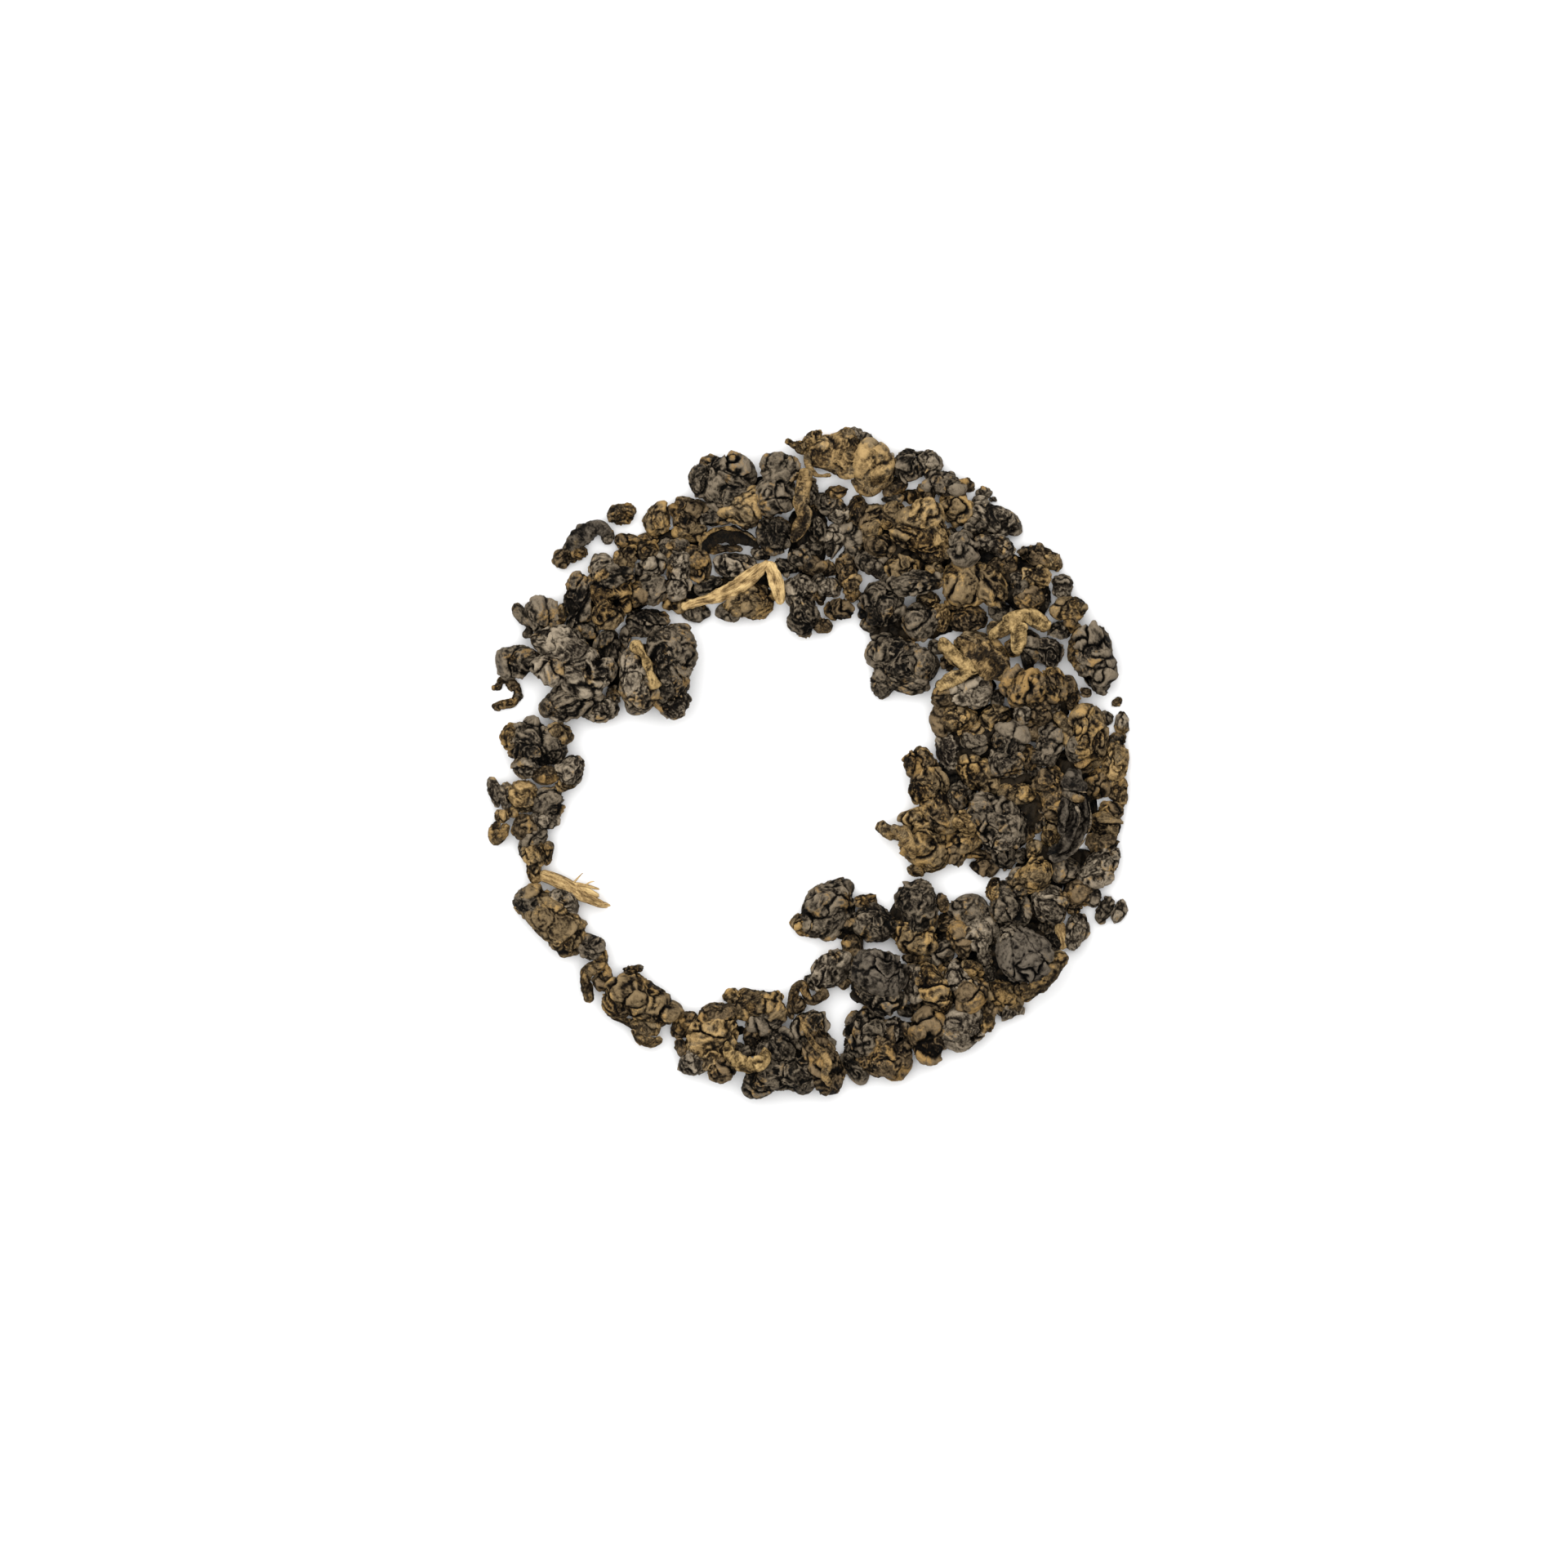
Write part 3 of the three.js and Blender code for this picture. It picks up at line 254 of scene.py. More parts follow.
    pellet(1, lobe(120, 98.8, 5.2, 4, CHARCOAL), lobe(124.3, 100.7, 5.4, 3.6, CHARCOAL, 90),
        lobe(122.2, 103, 5.2, 3.8, GREY), trim(118.3, 100.8, 3.6, 3, GOLD)),
    pellet(0, lobe(118.9, 103.4, 3.6, 3.4, BROWN), trim(122.8, 105, 3.4, 3.2, CHARCOAL)),
    pellet(0, lobe(120.3, 106, 3.8, 2.4, BROWN)),
    pellet(1, lobe(124.3, 96.9, 4.8, 3, TAN)),
    pellet(0, lobe(128.6, 95.7, 3.8, 3.2, BROWN), lobe(129.1, 98.7, 4.2, 2.8, BROWN, 90)),
    pellet(1, lobe(128.8, 102, 4.6, 2.8, GOLD, 90)),
    pellet(1, strip(None, [130.2, 95.2, 3], [132.8, 97, 3.6], [132.8, 100, 3.6], [131.4, 103.2, 3.2],
            [128.5, 104.8, 2.4]), trim(131.2, 97.4, 5.2, 3, BLACK, 90),
        trim(130.9, 101.2, 5.6, 2.8, BLACK, 75), trim(129.6, 103.9, 3.8, 2, BLACK, 30)),
    pellet(0, lobe(136.2, 99.2, 3.8, 2.2, BROWN), lobe(135.2, 100.8, 4.2, 2.6, TAN),
        lobe(135.2, 103, 4.2, 2.6, BROWN)),
    pellet(0, lobe(136.9, 97, 4.4, 2.4, TAN, 90), trim(134.2, 96.2, 3.2, 2.8, BROWN, 90)),
    pellet(0, lobe(134.9, 105.4, 4.4, 3.6, GREY, 30), lobe(133.9, 107.2, 4.6, 2.8, GREY)),
    pellet(0, lobe(131.3, 109, 2.8, 2.6, BROWN), lobe(133.8, 109.6, 3, 2.4, CHARCOAL, 90)),
    pellet(1, lobe(127, 107.2, 4.6, 4.2, TAN), lobe(124.6, 108.3, 3.6, 3.2, GREY, 90),
        trim(126.3, 103.9, 2.6, 2.2, GOLD, 90)),
    pellet(0, lobe(112.8, 103, 4.8, 4.6, TAN), lobe(114.4, 104.4, 5.4, 4.2, TAN, 100),
        lobe(112.2, 106.5, 2.8, 2.2, TAN),
        strip(GOLD, [107.3, 100.8, 1.4], [108.6, 101.8, 1.8], [112.2, 102.4, 2.2])),
    # Lower right
    pellet(1, lobe(128.8, 110.8, 5.2, 4.8, GREY)),
    pellet(0, lobe(131.6, 114, 5.8, 3.2, GREY, 90)),
    pellet(0, lobe(128.6, 115.2, 3.2, 3, CHARCOAL),
        strip(PALE, [129.8, 112.8, 1.1], [129.9, 114.4, 1.6], [130.1, 116.3, 1.2])),
    pellet(0, lobe(118.3, 111, 5.2, 2.8, CHARCOAL), lobe(119.6, 112.3, 3.8, 3.2, GREY)),
    pellet(0, lobe(120.2, 114.5, 4.6, 3.8, GREY, 90), lobe(117.4, 115.2, 4.4, 2.4, BROWN, -75)),
    pellet(0, lobe(116, 113.2, 4.2, 2.2, BROWN)),
    pellet(0, lobe(115.5, 116.3, 3.8, 3.4, CHARCOAL, 90)),
    pellet(0, trim(121, 117.2, 3, 2.8, GREY)),
    pellet(1, lobe(123.8, 111.2, 5, 4.8, CHARCOAL), lobe(121.8, 108.8, 3.6, 3, TAN, 90)),
    pellet(1, lobe(125.7, 117.2, 7, 6.6, BLACK), lobe(123.6, 114.7, 3.8, 3.2, GREY)),
    pellet(2, strip(TAN, [125.2, 122.6, 1.2], [126.6, 120.6, 2], [128.4, 118.6, 2.1],
        [130.2, 116.4, 1.4])),
    pellet(0, trim(125, 121.2, 2.8, 2.6, BROWN)),
    pellet(0, lobe(122.4, 121.3, 3.8, 3.6, TAN, 90), lobe(123.6, 123.5, 3.8, 2.8, GREY, 20)),
    pellet(1, lobe(116.7, 119.5, 4.4, 3.6, GREY, 90), trim(119, 118.6, 2.8, 2.6, TAN),
        lobe(118.9, 121.5, 3.8, 3.6, BROWN, 90)),
    pellet(1, lobe(118, 126.4, 6.8, 5, GREY, 18), calm(trim(117.7, 126.1, 6.5, 5.3, GREY, 18)),
        trim(120.5, 124.8, 2.8, 2.2, TAN, 90)),
    pellet(0, lobe(114.5, 121.5, 7.4, 4.6, TAN, -60), trim(112.2, 120.2, 5.4, 3, GREY, 100)),
    pellet(0, lobe(113.5, 127.2, 6, 5, BROWN, 90)),
    pellet(0, lobe(112.5, 110.1, 5.6, 5.4, CHARCOAL), lobe(112.2, 114.5, 5.6, 4.6, TAN)),
    pellet(0, lobe(107, 112.7, 6, 5.2, CHARCOAL)),
    pellet(0, lobe(101.8, 109.7, 6.4, 4.4, CHARCOAL, 10), lobe(103, 112.3, 4.4, 3, BROWN),
        lobe(98.8, 113, 4, 3.4, TAN)),
    pellet(0, lobe(104.6, 116.5, 5, 2.4, BROWN, 85), trim(104.5, 119, 2.8, 2.4, GREY)),
    pellet(0, lobe(101, 119, 6.6, 4.4, GREY, 58)),
    pellet(1, lobe(107.8, 119, 6.8, 5, BLACK)),
    pellet(0, lobe(107.5, 121.8, 7, 4.8, CHARCOAL, -25)),
    pellet(0, lobe(105.7, 126.2, 5.8, 5.2, CHARCOAL), trim(105.9, 127.4, 4.6, 3.6, CHARCOAL)),
    pellet(0, lobe(109.6, 126.5, 5.2, 3.6, GREY, 90), lobe(107.9, 129.9, 7.6, 4, BROWN)),
    # Bottom
    pellet(0, lobe(98.8, 125.2, 5.4, 4.6, CHARCOAL), lobe(100, 127.8, 4.6, 4.2, CHARCOAL),
        lobe(101.4, 131.2, 6.6, 4.6, BROWN, -70)),
    pellet(0, strip(BROWN, [96.8, 124.8, 1], [97.2, 121.6, 1.2], [98.3, 120.5, 1.2], [99.3, 122.4, 1.2],
        [101.4, 121.2, 1.2])),
    pellet(0, lobe(97.4, 131.4, 6.4, 5.6, CHARCOAL), lobe(93, 132.2, 5.2, 4.6, CHARCOAL)),
    pellet(0, lobe(95, 128.2, 5.2, 4.2, CHARCOAL)),
    pellet(0, lobe(94.5, 124.8, 5.4, 3.6, CHARCOAL), lobe(92.5, 122.6, 7.2, 3.5, TAN, 12)),
    pellet(0, lobe(92.2, 127, 3.8, 3.4, BROWN, 90)),
    pellet(1, strip(None, [89.3, 128, 1.3], [90.3, 129.8, 1.6], [92, 130.4, 1.7], [93.8, 129.4, 1.5],
        [93.9, 128, 1.2])),
    pellet(0, lobe(88.2, 124.3, 5.2, 3.6, BROWN), lobe(85.8, 127.6, 5.2, 4.4, GOLD),
        lobe(88.8, 130.6, 4.2, 3.6, BROWN), lobe(85, 130, 3.6, 3, GREY)),
    pellet(0, lobe(83.8, 125.5, 4.6, 2.6, BROWN, 40)),
    # Lower left
    pellet(0, lobe(80.6, 123.9, 6, 4.8, TAN), lobe(76.9, 120.4, 4.9, 4.2, CHARCOAL),
        lobe(75.8, 122.8, 4.6, 4.2, TAN),
        strip(GOLD, [74.6, 124.2, 1], [76.6, 125, 1.3], [78.6, 125.6, 1.6], [81, 125.8, 1.6]),
        strip(GOLD, [77.5, 125.8, 0.9], [78.4, 127, 1.4], [79.8, 127.5, 1.4], [81.2, 127.2, 0.7])),
    pellet(0, lobe(72.6, 116, 3.6, 3, CHARCOAL, 60), strip(TAN, [73, 115, 1], [73.6, 117.8, 1.4],
            [71.8, 119, 1.4], [71.9, 121, 1.6], [72.2, 122.8, 1.2]),
        strip(BROWN, [73.6, 117.2, 1], [74.4, 118.8, 1.1], [75.2, 121.4, 1.2])),
    pellet(0, lobe(64.8, 110.4, 4.2, 3.9, CHARCOAL), lobe(67.8, 112.4, 7.2, 4.8, TAN, -52),
        lobe(69.2, 115.2, 4.4, 3.8, TAN), trim(68.6, 110.4, 4, 3.2, GREY, -40)),
]

# Pellets that lie hidden under the others and tie the heap into one body, each with its height. They are
# painted near black, as painted shadow where they show between the pellets.
BURIED = [
    buried(70, 80.5, 9, 7, 20, 3),
    buried(78.5, 82, 10, 6, 0, 3.2),
    buried(76, 73, 13, 6, 10, 3.2),
    buried(82.5, 66.5, 11, 5, 10, 1.6),
    buried(83, 72.6, 8, 4, 0, 1.8),
    buried(91.5, 71, 10, 4, 20, 1.6),
    buried(92.8, 60.6, 10, 5, 0, 1.6),
    buried(99, 66, 11, 6, 90, 1.8),
    buried(103.8, 69, 9, 3.4, 70, 1.4),
    buried(111, 67.5, 10, 9, 0, 3.2),
    buried(119.5, 68, 10, 8, 0, 3.6),
    buried(124.5, 72, 11, 7, -50, 3.2),
    buried(112, 76.2, 12, 4, 10, 1.6),
    buried(118, 84.5, 9, 5, 0, 2.4),
    buried(127, 87.5, 9, 8, 90, 3.4),
    buried(120.5, 90.5, 10, 8, 0, 3.6),
    buried(116.5, 95.5, 8, 6, 90, 2.8),
    buried(123.5, 99, 11, 9, 90, 3.8),
    buried(131, 98.5, 12, 8, 90, 3),
    buried(126.5, 108, 10, 8, 70, 3),
    buried(132, 108, 8, 5, 60, 1.6),
    buried(123.5, 116, 11, 7, 60, 3.4),
    buried(117, 121, 11, 7, 60, 2.8),
    buried(117, 113.8, 7, 5, 0, 1.6),
    buried(110.5, 112.8, 9, 4, 20, 1.6),
    buried(103.8, 113.4, 6, 4, 0, 1.6),
    buried(107.5, 121.5, 8, 5, 0, 3),
    buried(109, 127.4, 12, 4, 0, 1.6),
    buried(96.5, 128, 12, 5, 0, 1.8),
    buried(87, 126.4, 10, 4, 0, 1.4),
]

# The single pellets and crumbs, each one clear of its neighbours
SINGLES = {
    "stalk_pellet": pellet(0, lobe(64.6, 98.1, 4.2, 3.8, GOLD), lobe(66.7, 98.6, 4.4, 4.2, CHARCOAL),
        lobe(66.6, 100.4, 3.6, 3.4, GREY), lobe(64.2, 101.2, 3.8, 3.4, BROWN),
        lobe(65.4, 102.6, 3.4, 2.4, CHARCOAL), lobe(60.5, 96.8, 4.2, 1.9, GREY, -78),
        lobe(61.9, 97.4, 3.6, 1.5, GREY, 90), lobe(62.6, 99.4, 2.8, 1.6, TAN, 30),
        lobe(61.4, 100, 2.2, 1.8, GOLD), strip(TAN, [61, 100.4, 0.9], [60.4, 102, 1.1], [60.8, 103, 1.2],
            [61.7, 102.2, 1.1], [62.1, 100.8, 0.9]), lobe(65.4, 104.2, 2.7, 2.8, GOLD),
        lobe(67.2, 104.4, 3.2, 1.6, BROWN, 80), lobe(64, 104.2, 3, 1, GREY, -80),
        lobe(65.3, 106.6, 3.2, 2.4, GOLD, 85), strip(PALE, [66, 107, 1.4], [68.4, 107.9, 1.7],
            [70.2, 108.9, 1.9], [71.8, 109.9, 1.3], [73.2, 110.6, 1], [74.6, 110.8, 0.6])),
    "left_pellet": pellet(0, lobe(65.8, 91.5, 7.4, 6.4, CHARCOAL, -10), lobe(63, 90.4, 3.6, 3.2, TAN, 90),
        lobe(69.8, 94.2, 4.4, 4, GREY, 60), lobe(64.2, 93.9, 3.6, 3, GREY), lobe(68.4, 89.8, 3.4, 3, TAN),
        lobe(69.4, 96, 2.8, 1.4, TAN), trim(66.6, 94.9, 3.8, 1.9, BROWN)),
    "loose_hook": pellet(0, lobe(69.1, 68.4, 2.6, 2.4, BROWN), lobe(71.1, 67.8, 1.8, 1.8, BROWN),
        lobe(70.3, 66.7, 2.6, 1.4, CHARCOAL, 20), lobe(71.7, 65.5, 3, 2, BLACK, 40),
        trim(70, 68.2, 2.4, 2, BROWN), trim(71.1, 67.5, 2.4, 2.2, BROWN, 30),
        trim(71.2, 65.7, 2.6, 2.2, BLACK, 40), trim(72.9, 64.8, 2.5, 1.9, BLACK),
        trim(74.4, 65.7, 2, 1.5, CHARCOAL, 90),
        strip(BLACK, [71.8, 65, 1], [73.4, 64.6, 1.2], [74.3, 65.3, 1], [74.2, 66.6, 0.9])),
    "loose_bud": pellet(0, lobe(75.8, 63.2, 3.4, 2.8, BROWN), lobe(76.9, 62.5, 1.8, 1.6, BROWN)),
    "loose_curl": pellet(0, strip(BROWN, [60.8, 83.5, 0.8], [62.2, 83.4, 1.2], [63.4, 84.6, 1.3],
            [63, 85.8, 1.2], [61.5, 86.3, 1.3], [60.4, 86.5, 0.8]), trim(61.2, 83.9, 1.8, 1.2, BROWN, 30),
        trim(62.9, 83.9, 2, 1.4, BROWN, -40), trim(63.5, 85.3, 1.8, 1.3, CHARCOAL, 80),
        trim(62.2, 86.1, 2, 1.2, BROWN, 20), trim(60.8, 86.5, 1.4, 1, BROWN)),
    "right_pellet": pellet(0, lobe(135.3, 111.5, 3.8, 2, CHARCOAL, 65),
        lobe(137, 111.4, 3.3, 1.8, GREY, 80)),
    "flake_gold": pellet(0, lobe(136.8, 85.9, 1.4, 1.1, TAN, 40)),
    "flake_dark": pellet(0, lobe(135.2, 88, 2.4, 1.8, CHARCOAL, -15)),
    "flake_long": pellet(0, lobe(137.5, 88.5, 3.4, 1.3, GREY, 92)),
    "crumb_large": pellet(0, lobe(120.6, 60.5, 1.4, 1.3, CHARCOAL)),
    "crumb_small": pellet(0, lobe(121.6, 61.2, 0.9, 0.8, CHARCOAL)),
}

# Ribbons, the flat strips of leaf and stem on each piece
RIBBONS = {
    "tea_heap": [
        # The long pale stem on the inner edge and the limb below its bend
        ribbon(PALE, 1, 0, [83.4, 74.4, 1.7, 1.3, 0], [85, 73.9, 2.1, 1.4, 0], [88, 73, 2.4, 1.7, 5],
            [91, 71.4, 2.8, 1.8, 5], [94.2, 68.8, 2.8, 1.3, 0]),
        ribbon(PALE, 0.7, 0, [94.1, 68.8, 2.9, 1.2, 0], [94.8, 70.6, 3.3, 1.4, 5],
            [95.3, 72.4, 3.4, 1.5, 0], [95.6, 74.1, 3, 1, 0]),
        # The flat dark leaf between the large dark pellet and the stem
        ribbon(SHADED, 0.7, 0.1, [86.2, 68.2, 1.4, 1.3, 0], [86.5, 66.6, 1.9, 2, 0],
            [88.4, 65.6, 2.1, 2.4, 10], [90.9, 65.8, 1.9, 2.2, 0], [93, 66.9, 1.5, 1.5, 0]),
        ribbon(TAN, 0.35, 0, [85.8, 68.2, 1.5, 0.3, 0], [85.9, 66.2, 2.1, 0.5, 0],
            [87.9, 64.8, 2.4, 0.5, 0], [90.6, 65, 2.2, 0.4, 0], [92.8, 66.3, 1.7, 0.3, 0]),
        # The leaf strip that hangs from the large golden pellet
        ribbon(GOLD, 0.6, 0, [98.7, 57.4, 2.9, 1.1, 0], [98.3, 59.6, 3.3, 1.3, 10],
            [98.1, 61.9, 3.5, 1.4, 0], [98.6, 63.4, 3.7, 2.3, 10], [97.9, 64.9, 3.7, 2.6, 0],
            [97, 66.5, 3.5, 1, 0]),
        # Hems, peak and frills of the large golden pellet
        ribbon(GOLD, 0.5, 0, [98.6, 55.4, 2.6, 0.5, 20], [98.8, 56.6, 2.4, 0.7, 20],
            [99.4, 57.7, 2.4, 0.8, 15], [100.2, 58.3, 2.4, 0.8, 10], [101.8, 58.3, 2.6, 0.6, 0]),
        ribbon(GOLD, 0.6, 0, [104.2, 58.8, 2.4, 0.7, 0], [105.5, 60, 2.4, 0.9, 10],
            [106.9, 60.3, 2.4, 1, 15], [108, 59.5, 2.5, 0.9, 15], [108.7, 58.4, 2.6, 0.7, 20]),
        # The glossy dark leaf folded over itself at the right
        ribbon(BLACK, 0.2, 0.05, [132.2, 97, 4.6, 1, 40], [132.7, 99.3, 4.9, 1.9, 50],
            [132.5, 101.5, 4.9, 2, 50], [131.6, 103.3, 4.7, 1.8, 50], [130.3, 104.7, 4.4, 1.5, 40],
            [128.6, 105.2, 4.1, 0.5, 20]),
        ribbon(BLACK, 0.2, 0.05, [131, 98.3, 5.1, 0.7, 40], [131.4, 100, 5.4, 1.6, 50],
            [130.9, 101.9, 5.3, 1.7, 50], [129.9, 103.6, 4.9, 1.4, 40], [128, 104.6, 4.4, 0.5, 20]),
        ribbon(BLACK, 0.2, 0.05, [130.2, 97.6, 4.9, 0.6, 40], [129.9, 99.8, 5.1, 1.5, 45],
            [129.9, 102.3, 4.7, 0.7, 40]),
        ribbon(BLACK, 0.5, 0.1, [129.8, 95.7, 4.3, 1.3, -10], [131.3, 96, 4.8, 2.2, -15],
            [133, 96.5, 4.5, 1.5, -20]),
        ribbon(GREY, 0.4, 0, [129.9, 97, 4.8, 0.7, 0], [131.4, 97.7, 5.2, 1, 0],
            [132.8, 97.9, 4.9, 0.6, 0]),
        # Thin pale grey ribbons along the glossy dark leaf's edge and folds: painted highlights of its
        # sheen
        ribbon(GREY, 0.2, 0, [130, 96.5, 4.7, 0.2, 0], [131.6, 96.9, 5.1, 0.25, 0],
            [132.9, 97, 4.8, 0.2, 0]),
        ribbon(GREY, 0.2, 0, [131.5, 98.6, 5.7, 0.15, 0], [132, 100, 6.1, 0.25, 0],
            [131.5, 101.8, 6, 0.25, 0], [130.4, 103.7, 5.4, 0.15, 0]),
        ribbon(GREY, 0.2, 0, [133.1, 98, 5.4, 0.15, 0], [133.4, 100.2, 5.8, 0.25, 0],
            [132.9, 102.3, 5.7, 0.25, 0], [131.5, 104.2, 5.2, 0.15, 0]),
        # The pale crescent on the bottom pellet and the pale strip on the upper left one
        ribbon(STRAW, 0.9, 0, [89, 127.4, 3.9, 1.2, 0], [89.5, 129, 4.4, 1.7, 10],
            [91, 130.2, 4.7, 2, 20], [92.6, 130.3, 4.8, 1.6, 0], [93.7, 129.4, 4.8, 1.8, -10],
            [93.6, 128.1, 4.5, 1.2, 0]),
        ribbon(STRAW, 1, 0, [77.4, 78.6, 4.2, 1.2, 0], [78.9, 80.4, 5.1, 1.5, 0],
            [79.8, 82.6, 5.4, 1.2, 0], [80.6, 84.4, 5.2, 0.8, 0]),
        # The forked golden leaf with its fan and the leaf that lies across above it
        ribbon(STRAW, 1.1, 0, [115, 78.2, 3.2, 1.2, 0], [116.6, 79.9, 3.6, 1.4, 0],
            [118.2, 81.4, 3.9, 1.3, 0], [119.6, 82.3, 3.8, 0.9, 0]),
        ribbon(STRAW, 1.1, 0, [114.6, 84.3, 3.8, 1.1, 0], [116.4, 83.4, 4.1, 1.5, 0],
            [118.2, 82.6, 4.1, 1.4, 0], [119.8, 82.1, 3.9, 0.9, 0]),
        ribbon(GOLD, 0.6, 0, [117.3, 78, 3.3, 1.1, 0], [118.8, 79.2, 3.8, 2.6, 0],
            [120.6, 80.8, 4.1, 3.6, 10], [122.2, 82.2, 3.9, 3.4, 10], [123, 83.4, 3.4, 1.5, 0]),
        ribbon(STRAW, 0.9, 0, [121, 78.2, 2.3, 1.1, 0], [122.8, 76.9, 2.8, 1.6, 0],
            [124.4, 75.7, 3.3, 1.8, 0], [126.3, 75.6, 3.4, 1.7, 0], [128.5, 77, 3.1, 1.2, 0]),
        ribbon(STRAW, 0.7, 0, [124.4, 76.2, 3.4, 2.3, 0], [124.7, 78.3, 3.6, 2.1, 0],
            [124.3, 80.2, 3.2, 1, 0]),
        # The pale ridge of the hooked pellet
        ribbon(GOLD, 0.8, 0, [109.2, 101.2, 3.4, 0.9, 0], [110.5, 102, 4.7, 1.4, 0],
            [111.3, 103.5, 5, 1.4, 0], [111.8, 105.2, 4.6, 0.8, 0]),
        # The winding ridge on the long pellet at the bottom
        ribbon(GOLD, 0.6, 0, [98.2, 125.2, 4.1, 0.6, 0], [98.9, 126.5, 4.3, 0.8, 0],
            [99.9, 128, 4.3, 0.8, 0], [100.9, 128.9, 4.4, 0.8, 0], [101.4, 130.2, 4.9, 0.9, 0],
            [101, 131.4, 5.2, 0.9, 0], [101.8, 132.9, 4.7, 0.6, 0]),
    ],
    "loose_hook": [
        # The dark leaf that curls over the two buds
        ribbon(BLACK, 0.6, 0, [69.6, 67.4, 1.3, 1.2, 0], [70.5, 66.2, 1.7, 1.8, 10],
            [71.7, 65.2, 1.9, 2, 20], [73.2, 64.6, 1.6, 1.2, 0], [74.2, 65.2, 1.2, 0.9, 0],
            [74.6, 66.2, 0.7, 0.4, 0]),
    ],
    "stalk_pellet": [
        # Shreds of the stalk's torn end
        ribbon(PALE, 0.3, 0, [69.6, 108.3, 1.6, 1, 0], [71.8, 109, 1.7, 1.1, 10],
            [73.4, 109.8, 1.4, 0.5, 20]),
        ribbon(PALE, 0.3, 0, [70.8, 109.5, 1.3, 0.9, 0], [73, 110.4, 1.1, 0.8, 0],
            [74.8, 110.9, 0.8, 0.3, 0]),
        ribbon(PALE, 0.25, 0, [70.2, 108.4, 1.7, 0.7, 20], [72, 108.5, 2, 0.5, 20],
            [73.5, 108.9, 1.9, 0.15, 0]),
        ribbon(PALE, 0.15, 0, [70.1, 108.3, 1.7, 0.25, 0], [70.9, 107.4, 2.1, 0.2, 0],
            [71.5, 106.8, 2.3, 0.1, 0]),
        ribbon(PALE, 0.15, 0, [71.4, 108.6, 1.9, 0.3, 20], [72.3, 108, 2.2, 0.2, 20],
            [72.9, 107.9, 2.3, 0.1, 0]),
    ],
}

